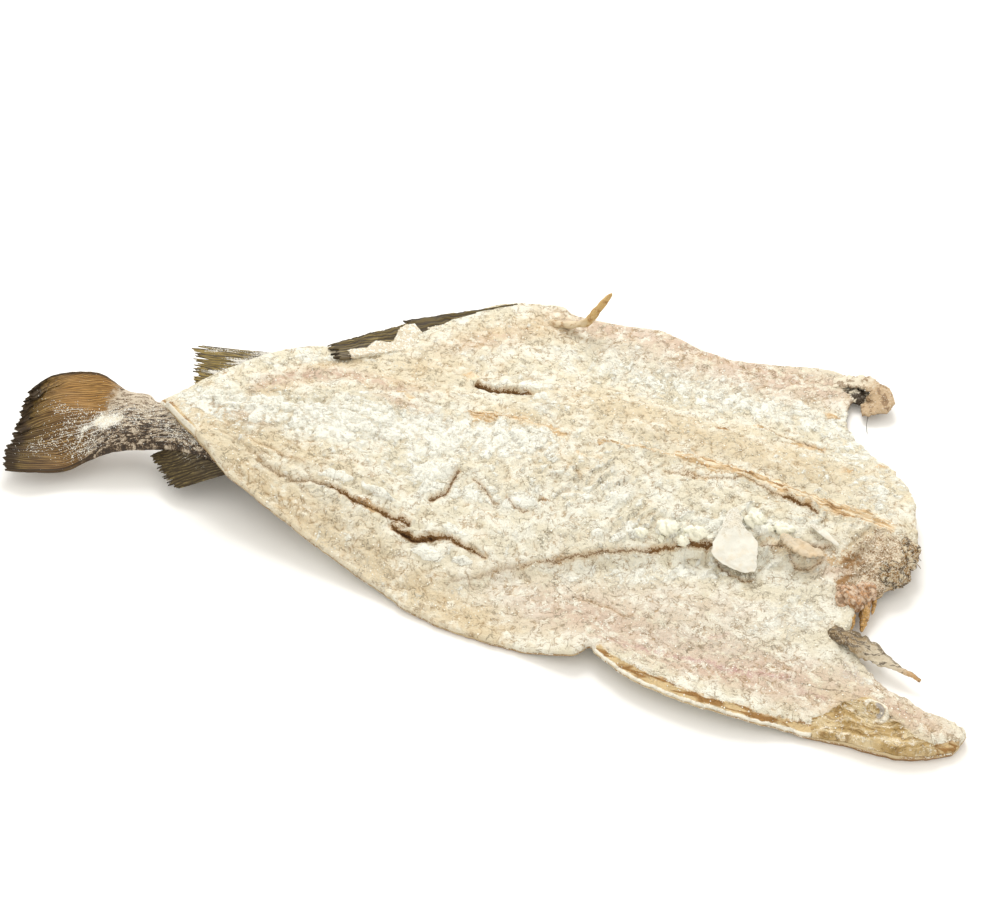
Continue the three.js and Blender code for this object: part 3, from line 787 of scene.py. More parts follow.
def cuts_in(x, y, far_x, far_y):
    """The nearest cut or crack: its relief, the distance across it, half its width, how dark its painted
    shade is.
    """
    relief, nearest = 0.0, np.full(x.shape, 20.0)
    across, half_width = np.full(x.shape, 6.0), np.full(x.shape, -4.0)
    cut_shade = np.zeros(x.shape)
    for k, (path, half_at_start, half_at_end, depth, shade) in enumerate(CUTS):
        away, share, side = beside_path(path, far_x, far_y)
        from_line, inner = away * side, smooth(np.minimum(share, 1 - share) * 11 + 0.05)
        half_here = mix(half_at_start, half_at_end, share) * (1 + 0.6 * swells(x, y, 9, 75 + k, 2))
        half_here = half_here * inner - 4 * (1 - inner)
        hollow = np.where(from_line < 0, np.exp(from_line / 4.5), 1 - smooth(from_line / 1.7))
        lip = np.exp(-((from_line - 3.4) / 2.6) ** 2) * (0.8 + 0.8 * swells(x, y, 4, 95 + k))
        relief = relief + depth * inner * (0.4 * lip - 0.62 * hollow)
        closer = away - half_here < nearest
        nearest = np.where(closer, away - half_here, nearest)
        across = np.where(closer, np.clip(from_line, -6, 6), across)
        half_width = np.where(closer, half_here - 4 * smooth((away - 3) / 2), half_width)
        cut_shade = np.where(closer, shade, cut_shade)
    return relief, across, half_width, cut_shade


def fillet():
    """The flesh side with its rim, and the masks for its colours."""
    u, w, x, y, low, thick, within = slab_grid(*SLAB_GRID)
    wander_x = x + 2.2 * swells(x, y, 9, 71, 2) + 0.8 * swells(x, y, 3, 171)
    wander_y = y + 1.8 * swells(x, y, 7, 72, 2) + 0.8 * swells(x, y, 3, 172)
    masks = {name: patches(rows, wander_x, wander_y) for name, rows in PATCHES.items()}

    bands = flake_bands(x, y)
    on_flap = smooth((value_at(NEAR_STEP["line"], x) - y - 4) / 16) * smooth((x - 20) / 60)
    clods = swells(wander_x, wander_y, 9, 173, 3)
    mounds = (2.0 * np.abs(clods) - 0.7) * (1 - 0.6 * on_flap)
    relief = RELIEF["hills"] * swells(x, y, 46, 73) + RELIEF["lumps"] * swells(x, y, 15, 74, 2)
    relief = relief + RELIEF["mounds"] * mounds + RELIEF["bands"] * bands
    relief = relief + RELIEF["streaks"] * tail_streaks(x, y)
    for path, half, height in RIDGES:
        relief = relief + height * near_path(path, half, wander_x, wander_y)
    chunk_share = 0.0
    for cx, cy, length, width, turn, height in CHUNKS:
        along, across = along_and_across(wander_x, wander_y, cx, cy, turn)
        chunk = smooth(1.6 * (1 - np.hypot(along / length, across / width)))
        relief = relief + height * chunk
        chunk_share = np.maximum(chunk_share, chunk)
    cut_relief, cut_across, cut_width, cut_shade = cuts_in(
        x, y, x + 1.6 * swells(x, y, 12, 71, 2), y + 1.3 * swells(x, y, 10, 72, 2))
    relief = relief + cut_relief

    inner, own_height = crust_grains(wander_x, wander_y, GRAIN_SIZES["coarse"], 76)
    small_inner, small_height = crust_grains(x, y, GRAIN_SIZES["fine"], 77)
    crusting = np.maximum(masks["crust"], 0.9 * chunk_share)
    grains = (0.45 + 1.1 * crusting) * (1 - 0.4 * on_flap) * (
        smooth(inner * 2.4) * own_height + 0.6 * smooth(small_inner * 2.2) * small_height)
    curd = (smooth((x - TORN_NECK["from_x"]) / 22) * smooth((y - TORN_NECK["from_y"]) / 22)
            * smooth((TORN_NECK["to_y"] - y) / 26))
    curd = np.maximum(curd, patches([TORN_EDGE], wander_x, wander_y))
    below_ear_edge = value_at(EAR_EDGE, x) - y + 3 * swells(x, y, 8, 88, 2)
    past_ear_start = x - EAR_FROM_X + 6 * swells(x, y, 9, 87, 2)
    ear = smooth(below_ear_edge / 5 + 0.4) * smooth(past_ear_start / 14)
    from_ring = np.hypot(x - EAR_RING[0], 1.2 * (y - EAR_RING[1]))
    fold_across = y - y[:, :1] + 7 * np.exp(-(from_ring / 13) ** 2) + 3 * swells(x, y, 16, 83, 2)
    relief = relief + grains * (1 - 0.7 * ear) + 3.2 * curd * swells(x, y, 7, 78, 3)
    relief = relief + 1.3 * ear * swells(fold_across, 0.2 * x, 4.5, 85, 2)
    relief = relief + 0.3 * swells(x, y, 2.4, 79, 2)

    on_band = smooth((x - RIM_BAND["from_x"]) / 8)
    band = RIM_BAND["share"] + 0.006 * swells(x, 0 * x, 14, 86, 2) * np.ones_like(y)
    rim_skin = on_band * smooth((band - w) / 0.008 + 0.5)
    near_lip = -1.6 * rim_skin * (1 - ear)
    high = np.maximum(low + thick + relief * within + near_lip, low + LEAST_THICKNESS - 0.6)
    start_skin = smooth((0.008 - u) / 0.004) * smooth((w - 0.3) / 0.3)

    rust = masks["rust"]
    for path, half, strength in RUST_LINES:
        rust = np.maximum(rust, strength * near_path(path, half, wander_x, wander_y))
    rust = np.maximum(rust, 0.6 * (np.exp(-((w - band) / 0.004) ** 2) * on_band * (1 - ear)))
    white_rim = smooth(1 - w / 0.009) * (1 - smooth((x - 300) / 14))
    raised = 0.5 * grains + bands * 1.4 + 0.5 * mounds + 0.8 * chunk_share - 0.4
    masks |= {
        "crust": crusting,
        "rust": np.clip(rust, 0, 1),
        "cut_across": cut_across,
        "cut_width": cut_width,
        "cut_shade": cut_shade,
        "rim_skin": np.maximum(rim_skin, 0.6 * start_skin),
        "rim_edge": np.maximum(white_rim, smooth(1 - u / 0.0035)),
        "ear": ear,
        "from_ring": np.clip(from_ring, 0, 20),
        "right_of_ring": np.clip(x - EAR_RING[0] + 0.3 * (y - EAR_RING[1]), -9, 9),
        "fold_across": np.clip(fold_across, 0, 60),
        "strand_across": np.clip(y - value_at(STRAND_LINE, x), -12, 12),
        "fish_along": x / 10,
        "clods": np.clip(clods, -1, 1),
        "curd": np.clip(curd * 1.1 - 0.1, 0, 1),
        "raised": np.clip(raised, -1, 1),
    }
    return half_shell(x, y, high, low, masks, reach=0.62, rows=3, bulge=RIM_BULGE)


slab = fillet()
add_piece("opened_fillet", slab, flesh_finish())


# ---- the skin side ----

SKIN_GRID = (260, 140)


def skin_finish():
    finish = Finish("cod_skin", 0.7)
    back, line, frost, stalk, turned_up = finish.masks("back", "line", "frost", "stalk", "turned")
    clouds = finish.noise(22, 4, roughness=0.6)
    mottle = finish.noise(6, 3, roughness=0.6)
    scales = finish.grains(1.9, finish.stretched(finish.place, 0.62, 1, 1))
    grit = finish.noise(0.9, 2)
    streaks = finish.noise(7, 3, place=finish.stretched(finish.place, 0.35, 1.5, 2.0))
    # The rim's tan and brown streaks are partly the skin's tone, partly painted shade under the rim.
    rim_paint = finish.coats(
        (226, 204, 162),
        ((178, 142, 94), streaks.step(0.44, 0.58)),
        ((252, 246, 230), (streaks + grit).step(1.08, 1.2)))
    # Painted shade: the lower part of the turned rim, which faces the table, is laid brown.
    top_of_rim = (turned_up + (mottle - 0.5) * 0.5).step(0.5, 0.8)
    paint = finish.coats(
        (216, 206, 182),
        ((140, 121, 88), back * (clouds + mottle * 0.5).step(0.45, 0.9)),
        ((104, 86, 58), back * (mottle + clouds * 0.5).step(0.72, 0.95) * 0.85),
        ((224, 214, 186), line),
        ((146, 124, 94), stalk * (mottle + grit).step(0.8, 1.1)),
        ((78, 62, 46), stalk * (mottle + grit).step(1.0, 1.25)),
        ((96, 80, 56), scales.step(0.55, 0.9) * 0.35),
        ((250, 246, 232), (frost + (mottle - 0.5) + (grit - 0.5)).step(0.45, 0.85)),
        (finish.blend((158, 118, 74), rim_paint, top_of_rim), turned_up.step(0.1, 0.4)))
    return finish.done(paint, grit * 0.3 - scales * 0.5 + mottle * 0.4, 0.5)


def skin_side():
    _, _, x, y, low, thick, within = slab_grid(*SKIN_GRID)
    spine_y = value_at(SPINE_LINE, x)
    near_y, far_y = y[:, :1], y[:, -1:]
    near_share = (spine_y - y) / (spine_y - near_y + 1)
    far_share = (y - spine_y) / (far_y - spine_y + 1)
    out = np.clip(np.where(y < spine_y, near_share, far_share), 0, 1)
    lifted = smooth((low - 0.3) / 2.0)
    ripple = 0.35 * swells(x, y, 12, 91, 2) * lifted * within
    high = np.maximum(low + thick, low + LEAST_THICKNESS)
    frost = 0.15 + 0.5 * swells(x, y, 45, 93, 2) + 0.2 * smooth((out - 0.9) * 12)
    masks = {
        "back": smooth(1.25 - out * 1.25),
        "stalk": smooth((-70 - x) / 70),
        "line": 0.8 * np.exp(-((out - 0.3 - 0.02 * swells(x, y, 40, 92)) * 60) ** 2),
        "frost": np.clip(frost, 0, 1),
    }
    return half_shell(
        x, y, np.maximum(low + ripple, 0), high, masks,
        reach=0.52, rows=3, bulge=RIM_BULGE + 0.15, up=False)


add_piece("skin_side", skin_side(), skin_finish())


# ---- the tail ----

TAIL_RAYS = 42
TAIL_GRID = (250, 180)
# Salt on the hide and the fin: x, y, half length, half width, turn in degrees, strength.
TAIL_SALT = [
    (-262, -67, 17, 9, 8, 1.0), (-281, -78, 22, 12, 28, 0.75), (-290, -62, 20, 7, 0, 0.55),
    (-268, -86, 16, 7, 35, 0.7), (-236, -60, 30, 12, 6, 0.6), (-205, -62, 26, 9, -18, 0.75),
    (-214, -54, 16, 6, -18, 0.6), (-300, -92, 16, 6, 20, 0.35),
]
WHITE_PATCH = (-260, -66, 6.5, 3.0, 15, 1.0)


def tail_finish():
    finish = Finish("tail_skin_and_rays", 0.6)
    fin, ray, out, root = finish.masks("fin", "ray", "out", "root")
    lobe, frost, edge, rim = finish.masks("lobe", "frost", "edge", "rim")
    along_rays = finish.beside(ray * 90, out * 7, fin * 2)
    streaks = finish.noise(1.0, 2, place=along_rays)
    fine_streaks = finish.noise(0.42, 1, place=along_rays)
    scale_rows = finish.noise(1.5, 3, place=finish.beside(ray * 36, out * 46), roughness=0.7)
    mottle = finish.noise(7, 4, roughness=0.65)
    fine = finish.noise(0.9, 2, roughness=0.7)
    ray_wave = (ray * (2 * math.pi * TAIL_RAYS) + mottle * 3).sine()
    web = finish.coats(
        (140, 106, 60),
        ((192, 144, 78), (lobe + mottle * 0.5).step(0.6, 1.1)),
        ((212, 174, 112), streaks.step(0.48, 0.62) * (0.9 - 0.4 * lobe)),
        ((112, 98, 50), edge * 0.85),
        ((70, 46, 24), ray_wave.step(0.1, 0.8) * (0.95 - 0.45 * lobe)),
        ((62, 42, 24), streaks.fall(0.36, 0.47) * (0.85 - 0.5 * lobe)),
        ((84, 56, 30), fine_streaks.step(0.54, 0.66) * 0.75),
        ((58, 42, 26), (rim + (streaks - 0.5) * 0.8).step(0.3, 0.8) * 0.85))
    root_paint = finish.coats(
        (216, 206, 182),
        ((140, 118, 88), (mottle + fine).step(0.8, 1.1)),
        ((78, 62, 46), (mottle + fine).step(1.0, 1.25)))
    salted = (frost + (fine - 0.5) * 1.8 + (streaks - 0.5) * 2.4).step(0.62, 0.8)
    paint = finish.coats(
        (222, 208, 186),
        ((134, 110, 84), (scale_rows + fine * 0.4 - lobe * 0.1).step(0.56, 0.7)),
        ((56, 45, 36), (scale_rows + fine * 0.5 - lobe * 0.14).step(0.68, 0.8) * 0.95),
        (root_paint, root),
        (web, (fin + (mottle - 0.5) * 0.5).step(0.4, 0.75)),
        ((246, 240, 232), salted))
    relief = ray_wave * -0.3 * fin + fine * 0.3 + scale_rows * 0.6 * (1 - fin) + salted * 0.5
    return finish.done(paint, relief, 0.8)


def tail():
    """The rounded stalk and the rayed fin, both sides."""
    outline = {side: Line(points) for side, points in TAIL_OUTLINE.items()}
    u, w = grid(*TAIL_GRID)
    u = u ** 0.9
    x, y = inside(outline, u, w)
    stalk = smooth((x - STALK_FROM_X) / STALK_RUN)
    root = smooth((x - STALK_ROOT_X) / STALK_ROOT_RUN)
    fin = 1 - stalk
    ripple = (1.6 * np.sin(w * 9 + u * 20) + 0.7 * swells(w * 90, u * 120, 8, 101, 2)) * fin
    plane = mix(mix(*FIN_PLANE, w), mix(*STALK_PLANE, w), stalk)
    middle = mix(plane, tail_lift(x) + 6, root) + ripple
    ray = w + 0.9 * w * np.maximum(0.3 - u, 0) + 0.006 * swells(w * 100, 0 * w, 3, 108, 2)
    body = 1 + (STALK_HALF_THICKNESS - 1) * half_round(w)
    fin_half = FIN_THICKNESS / 2 * mix(0.45, 1, smooth(u * 6))
    half = mix(mix(fin_half, body, stalk), 1.5, root)
    half = half + 0.14 * np.cos(2 * math.pi * TAIL_RAYS * ray) * fin
    half = half + 0.35 * swells(x, y * 3, 7, 102, 3) * stalk
    teeth = (np.abs(swells(w * 100, 0 * w, 1.9, 103)) * 3.0
             + np.abs(swells(w * 100, 0 * w, 0.9, 104)) * 2.4)
    split = 3.4 * smooth((swells(w * 100, 0 * w, 4, 105) - 0.4) * 8)
    x = x + (teeth + split - 1.8) * smooth(1 - u * 7)
    streaks = swells(x + 400, w * 60, 7, 106, 2) + 0.5 * swells(x * 2.5, w * 160, 4, 107)
    salting = patches(TAIL_SALT, x, y) * (0.62 + 0.3 * streaks)
    masks = {
        "fin": fin,
        "root": smooth((x + 190) / 50),
        "ray": ray,
        "out": u,
        "lobe": smooth((w - 0.2) * 1.6),
        "frost": np.clip(salting + 1.4 * patches([WHITE_PATCH], x, y), 0, 1.8),
        "edge": smooth(1 - u * 6),
        "rim": np.maximum(smooth(1 - np.minimum(w, 1 - w) * 20), smooth(1 - u * 12)),
    }
    return leaf(x, y, np.maximum(middle - half, 0.2), middle + half, masks, bulge=0.5, rows=2)


tail_shape = tail()
add_piece("tail", tail_shape, tail_finish())


# ---- the fins along the edges ----

# Each fin by the two ends of its base and of its tips; slant turns its rays along the base.
FINS = {
    "second_anal": {
        "base": [(-203, -18, 32), (-146, 45, 25)], "tips": [(-219, -16, 33), (-235, 24, 32)],
        "rays": 15, "slant": 0, "pale": 0.64, "dark": 0.1,
    },
    "first_anal_rear": {
        "base": [(-134, 44, 30), (-84, 90, 16)], "tips": [(-145, 56, 31), (-103, 101, 26)],
        "rays": 3, "slant": 6, "pale": 0.05, "dark": 0.75, "crusted": 0.5,
    },
    "first_anal_front": {
        "base": [(-88, 92, 18), (-36, 150, 12)], "tips": [(-106, 104, 25), (-42.4, 153.6, 18.4)],
        "rays": 2, "slant": 4, "pale": 0.1, "dark": 0.8, "crusted": 0.62,
    },
    "third_dorsal": {
        "base": [(-211, -66, 21), (-163, -82, 26)], "tips": [(-226, -74, 16), (-201, -94, 9)],
        "rays": 13, "slant": 0, "pale": 0.14, "dark": 0.9,
    },
    "second_dorsal": {
        "base": [(-150, -56, 23), (-92, -38, 13)], "tips": [(-176, -66, 18), (-134, -72, 20)],
        "rays": 18, "slant": 0, "pale": 0.1, "dark": 0.5,
    },
}


def fin_finish():
    finish = Finish("fin_rays_and_web", 0.6)
    out, ray, frost, dark, buried = finish.masks("out", "ray", "frost", "dark", "buried")
    streaks = finish.noise(1.0, 3, place=finish.beside(ray * 3, out * 9))
    fine = finish.noise(0.9, 2, roughness=0.7)
    crumbs = finish.noise(2.2, 3, roughness=0.65)
    ray_wave = (ray * (2 * math.pi) + fine * 0.8).sine()
    salted = (frost + (fine - 0.5) * 1.6 + (streaks - 0.5) * 1.2).step(0.55, 0.75)
    crust_paint = finish.coats(
        flesh_colour(252, 250, 238),
        (flesh_colour(232, 220, 196), crumbs.step(0.42, 0.58)),
        (flesh_colour(176, 146, 104), crumbs.creases(0.03) * 0.6))
    paint = finish.coats(
        (196, 184, 160),
        ((154, 132, 70), (out + finish.noise(8, 3) * 0.5).step(0.5, 0.95)),
        ((92, 78, 48), dark),
        ((190, 170, 112), streaks.step(0.56, 0.68) * 0.6),
        ((60, 46, 28), ray_wave.step(-0.1, 0.6) * 0.85),
        ((48, 38, 28), streaks.fall(0.36, 0.46) * 0.8),
        ((240, 236, 226), salted),
        (crust_paint, (buried + (crumbs - 0.5) * 1.8).step(0.4, 0.6)))
    relief = (ray_wave * -0.4 + streaks * 0.5) * (1 - buried) + fine * 0.4 + salted * 0.4
    return finish.done(paint, relief + buried * crumbs * 4, 0.6)


def folded_fin(base, tips, rays, slant, pale, dark, seed, crusted=0.0, along=30, across=120):
    """A folded fin: rays run from its base to a torn row of tips, or lie along the base.

    crusted is the share of its width that flesh and salt have grown over.
    """
    base, tips = np.array(base, float), np.array(tips, float)
    u, w = grid(along, across)
    ray = rays * w + slant * u + 0.65 * swells(w * 40, u * 12, 6, seed + 4, 2)
    torn = (0.17 * np.abs(swells(w * 100, 0 * w, 3, seed))
            + 0.1 * np.abs(swells(w * 100, 0 * w, 1.3, seed + 1)))
    length = u * (1.05 - torn * (0.15 if slant else 1.0))
    loose = 0.0
    if slant:
        loose = (0.14 * np.abs(swells(u * 40, 0 * u, 2.5, seed + 5)) - 0.02) * smooth(1 - w * 7)
    share = (w - loose)[..., None]
    start, end = mix(base[0], base[1], share), mix(tips[0], tips[1], share)
    x, y, z = np.moveaxis(start + (end - start) * length[..., None], -1, 0)
    z = z + 0.6 * swells(w * 60 + u * 9, u * 40, 9, seed + 2, 2) * u
    covered = 0.0
    if crusted:
        at_ends = np.maximum(smooth((w - 0.55) / 0.4), 0.8 * smooth((crusted - 0.5 - w) * 4))
        covered = crusted + (0.95 - crusted) * at_ends + 0.12 * swells(w * 60, 0 * w, 9, seed + 6, 3)
    buried = smooth((covered - u) / 0.12) * smooth((w - 0.06) / 0.08)
    ray_wave = np.cos(2 * math.pi * ray)
    half = mix(0.62, 0.2, u) * FIN_THICKNESS + 0.14 * ray_wave * (0.3 + u) * (1 - buried)
    half = half + 0.5 * buried * (0.8 + swells(x, y, 4, seed + 8, 2))
    salting = (1 - u) * 1.1 + 0.5 * swells(w * 50, u * 20, 6, seed + 3, 2) - 0.5 + pale
    masks = {
        "out": u,
        "ray": ray,
        "frost": np.clip(salting, 0, 1) * (0.3 + pale),
        "dark": dark,
        "buried": buried,
    }
    return leaf(x, y, z - half, z + half, masks, bulge=0.2)


first_fin, *more_fins = (
    folded_fin(**sizes, seed=111 + 7 * k) for k, sizes in enumerate(FINS.values()))
add_piece("edge_fins", sum(more_fins, first_fin), fin_finish())


# ---- flakes, membrane, curl, shreds and torn gut ----

# The pale flake by its two edges, from its root to its blunt end: x, y, z.
PALE_FLAKE = {
    "left": [
        (153.7, -20, 28.5), (152, -34, 26), (149.8, -43.5, 22.5), (150.8, -51, 20), (157, -55.5, 17.5),
        (166, -57.4, 15.5), (173.5, -57.5, 14.8),
    ],
    "right": [
        (158.5, -17, 28.5), (165.9, -29, 26), (174.5, -34, 22.5), (177.6, -42, 20), (178.6, -47.5, 17.5),
        (179.4, -52, 15.5), (179.6, -55, 14.8),
    ],
}
# Strips by their stations: x, y, z, width and thickness.
SMALL_FLAKE = [
    (190, -28, 25, 4, 3), (198, -31, 23, 10, 3.4), (207, -32.5, 20.5, 12, 3), (217, -29, 18, 4, 1.6),
]
WHITE_SLIVER = [(206, -13, 25, 3, 2), (215, -18, 24.5, 4.5, 2), (225, -23, 22, 1.5, 1.2)]
MEMBRANE = [
    (234, -84, 10, 7, 4), (245, -90, 11, 14, 4), (258, -94, 10, 15, 3), (270, -99, 9, 9, 2.4),
    (282, -103, 8, 4, 2), (292, -106, 7, 2, 1.4),
]
FAR_CURL = [
    (190, 150, 7, 9, 4), (203, 151, 11, 13, 5), (215, 149, 13, 12, 5), (224, 142, 11.5, 13, 5),
    (223, 133, 8, 17, 5), (214, 130, 5, 11, 3),
]
# Chunks of white crust along the loin's edge: x, y, half length, half width, half height.
STANDING_CHUNKS = [
    (120, -43, 7, 6, 4.6), (117, -49, 4, 3, 3), (137, -42, 6.5, 4.5, 4.4), (131, -47, 4, 3.5, 3),
    (104, -51, 4, 3, 2.4), (171, -21, 6, 4.5, 4.2), (189, -21, 7, 4, 3.6), (180, -24, 4, 3, 2.6),
]
# The shred at the far rim by its points: x, y, z.
FAR_SHRED = [(-14, 144, 15), (-2, 141, 19), (12, 140, 25), (20, 145, 35), (28, 151, 47)]
HAIR = 0.3  # radius of a stray hair


def torn_sheet(u, w, x, y, z, half):
    masks = {"along": u, "over": w}
    return leaf(x, y, z - half, z + half, masks, bulge=0.4, rows=2)


def strip(stations, seed, torn, rough=0.35, along=64, across=28):
    """A strip of flesh, skin or membrane along its stations."""
    line = Line(np.array(stations, float)[:, :3])
    u, w = grid(along, across)
    centre = line.at(u)
    run = np.gradient(centre[:, 0], axis=0)[:, None, :2]
    run = run / np.linalg.norm(run, axis=-1, keepdims=True)
    share = np.linspace(0, 1, len(stations))
    width = np.interp(u, share, [station[3] for station in stations])
    thick = np.interp(u, share, [station[4] for station in stations])
    edge = 1 + torn * 0.12 * swells(u * 60, np.sign(w - 0.5) * 9, 3, seed, 3)
    side = (w - 0.5) * width * edge
    x = centre[..., 0] - run[..., 1] * side
    y = centre[..., 1] + run[..., 0] * side
    z = centre[..., 2] + rough * swells(x, y, 4, seed + 1, 3)
    return torn_sheet(u, w, x, y, z, thick / 2 * mix(0.35, 1, half_round(w)))


def flap(left, right, seed, along=64, across=40, torn=0.8, thick=2.4):
    """A flap of flesh between its left and right edges, thinner at its rim."""
    u, w = grid(along, across)
    x, y, z = np.moveaxis(mix(Line(left).at(u), Line(right).at(u), w[..., None]), -1, 0)
    x = x + torn * swells(u * 40, 0 * w, 3, seed, 3) * (2 * w - 1)
    z = z + 0.5 * swells(x, y, 6, seed + 1, 3)
    rim = np.minimum(np.minimum(w, 1 - w) * 5, (1 - u) * 8)
    return torn_sheet(u, w, x, y, z, thick / 2 * mix(0.3, 1, smooth(rim)))


def from_rings(rings, masks=None):
    """A shape from rings of points, one after another, each closed."""
    count, around = rings.shape[:2]
    place = np.arange(count * around).reshape(count, around)
    beside = np.roll(place, -1, 1)
    faces = np.stack([place[:-1], place[1:], beside[1:], beside[:-1]], -1).reshape(-1, 4)
    return Shape(rings.reshape(-1, 3), faces, masks)


def rod(points, radius, seed, along=48, around=16, tip=0.55):
    """A bent round shred, narrower at its free end."""
    t = np.linspace(0, 1, along + 1)
    centre = Line(points).at(t)
    run = np.gradient(centre, axis=0)
    run /= np.linalg.norm(run, axis=1)[:, None]
    side = np.cross(run, (0.3, 0.2, 1.0))
    side /= np.linalg.norm(side, axis=1)[:, None]
    lift = np.cross(side, run)
    turn = np.linspace(0, 2 * math.pi, around, endpoint=False)[None, :]
    knobs = 1 + 0.28 * swells(t[:, None] * 60, turn * 5, 5, seed, 2) * np.ones_like(turn)
    ends = np.sqrt(np.clip(1.02 - t[:, None] ** 14, 0, 1))
    reach = radius * mix(1, tip, t[:, None] ** 2) * knobs * ends
    rings = centre[:, None] + reach[..., None] * (
        np.cos(turn)[..., None] * side[:, None] + np.sin(turn)[..., None] * lift[:, None])
    return from_rings(rings, {"along": np.repeat(t, around)})


def lump(centre, radii, seed, rough, rings=44, around=64):
    """A rounded torn lump."""
    tilt = np.linspace(0, math.pi, rings + 1)[:, None] * np.ones(around)
    turn = np.linspace(0, 2 * math.pi, around, endpoint=False) * np.ones((rings + 1, 1))
    way = np.stack([np.sin(tilt) * np.cos(turn), np.sin(tilt) * np.sin(turn), np.cos(tilt)], -1)
    bumps = 1 + rough * swells(
        way[..., 0] * 10 + way[..., 2] * 7, way[..., 1] * 10 - way[..., 2] * 5, 3.4, seed, 3)
    return from_rings(np.array(centre) + way * np.array(radii) * bumps[..., None])


def surface_height(x, y):
    """Height of the flesh at one place."""
    points = slab.points
    return points[np.argmin(np.hypot(points[:, 0] - x, points[:, 1] - y)), 2]


def with_masks(shape, *names):
    """A shape with masks that are 1 all over it."""
    shape.masks |= {name: np.ones(len(shape.points)) for name in names}
    return shape


def flake_finish():
    finish = Finish("dry_flakes", 0.8, 0.2)
    tan, along, chunk = finish.masks("tan", "along", "chunk")
    clouds = finish.noise(5, 4)
    grit = finish.noise(0.8, 3, roughness=0.6)
    root = (0.45 - along + (clouds - 0.5) * 0.5).step(0, 0.2)
    paint = finish.coats(
        (255, 253, 242),
        ((254, 246, 228), clouds.step(0.45, 0.7)),
        ((232, 206, 168), tan * (0.35 + 0.8 * clouds)),
        ((220, 212, 194), root * grit.step(0.42, 0.6) * 0.8),
        ((190, 164, 122), grit.step(0.6, 0.7) * (0.15 + 0.4 * root + 0.3 * tan)),
        (flesh_colour(255, 252, 234), chunk * (1 - grit.step(0.56, 0.68))))
    return finish.done(paint, grit * 0.5 + clouds * 0.6, 0.6)


flakes = flap(PALE_FLAKE["left"], PALE_FLAKE["right"], 131)
flakes = flakes + with_masks(strip(SMALL_FLAKE, 135, torn=1.6, rough=0.9), "tan")
flakes = flakes + strip(WHITE_SLIVER, 137, along=30, across=8, torn=0.5)
for seed, (x, y, length, width, height) in enumerate(STANDING_CHUNKS, start=201):
    centre = (x, y, surface_height(x, y) - 0.35 * height)
    chunk = lump(centre, (length, width, height), seed, rough=0.4, rings=18, around=24)
    flakes = flakes + with_masks(chunk, "along", "chunk")
add_piece("standing_flakes", flakes, flake_finish())


def membrane_finish():
    finish = Finish("gut_membrane", 0.6, 0.35)
    along, over = finish.masks("along", "over")
    clouds = finish.noise(4, 4, place=finish.stretched(finish.warped(6, 3), 0.5, 1.6, 1.6))
    grit = finish.noise(0.9, 3, roughness=0.7)
    root = 1 - along.step(0.15, 0.5)
    tip = finish.blend((226, 212, 186), (214, 168, 112), along.step(0.72, 0.95))
    paint = finish.coats(
        (168, 144, 108),
        (tip, (along + (clouds - 0.5) * 0.9).step(0.22, 0.5)),
        ((84, 68, 50), (clouds + root * 0.08).step(0.54, 0.62) * 0.8),
        ((110, 92, 66), (over + (clouds - 0.5) * 0.6).step(0.7, 0.9) * 0.7),
        ((240, 230, 212), grit.step(0.54, 0.66) * 0.7))
    return finish.done(paint, clouds * 1.2 + grit * 0.4, 1.2)


add_piece("gut_membrane", strip(MEMBRANE, 141, torn=1.5, rough=1.0), membrane_finish())


def curl_finish():
    finish = Finish("curled_ear", 0.75, 0.25)
    along, below, hollow, hair = finish.masks("along", "below", "hollow", "hair")
    clouds = finish.noise(4.5, 4, place=finish.warped(5, 2))
    grit = finish.noise(0.95, 3, roughness=0.65)
    paint = finish.coats(
        (250, 240, 218),
        ((218, 190, 154), (along + (clouds - 0.5) * 0.7).step(0.25, 0.6)),
        ((146, 114, 82), clouds.step(0.5, 0.6) * 0.75),
        # painted shade on the curl's underside
        ((92, 72, 52), (below + clouds * 0.4).step(0.8, 1.2) * 0.6),
        # painted shade: the dark of the hollow lump
        ((78, 66, 54), hollow * clouds.step(0.36, 0.5)),
        ((250, 242, 226), grit.step(0.55, 0.68) * (0.75 - 0.5 * hollow)),
        ((120, 116, 110), hair))
    return finish.done(paint, clouds + grit * 0.6, 1.1)


curl = strip(FAR_CURL, 151, along=110, across=36, torn=2.0, rough=0.9)
# A dark lump in the fold stands for the shade in the hollow under the curl.
curl = curl + with_masks(lump((209, 143, 6), (10, 7, 3.4), 153, rough=0.25), "hollow")
hanging_hair = rod([(219, 130, 5), (219.8, 118, 3), (222, 110, 1.4)], HAIR, 154, 20, 6)
add_piece("curled_ear", curl + with_masks(hanging_hair, "hair"), curl_finish())


def shred_finish():
    finish = Finish("dried_shred", 0.7)
    along = finish.mask("along")
    clouds = finish.noise(4, 4)
    grit = finish.noise(0.8, 3, roughness=0.7)
    paint = finish.coats(
        (240, 222, 190),
        ((222, 186, 124), (along + (clouds - 0.5) * 0.5).step(0.3, 0.7)),
        ((170, 124, 72), clouds.step(0.5, 0.66) * 0.7),
        ((248, 236, 208), grit.step(0.56, 0.7) * 0.6))
    return finish.done(paint, clouds * 0.7 + grit * 0.6, 0.7)


add_piece("standing_shred", rod(FAR_SHRED, 2.8, 161, tip=0.9), shred_finish())


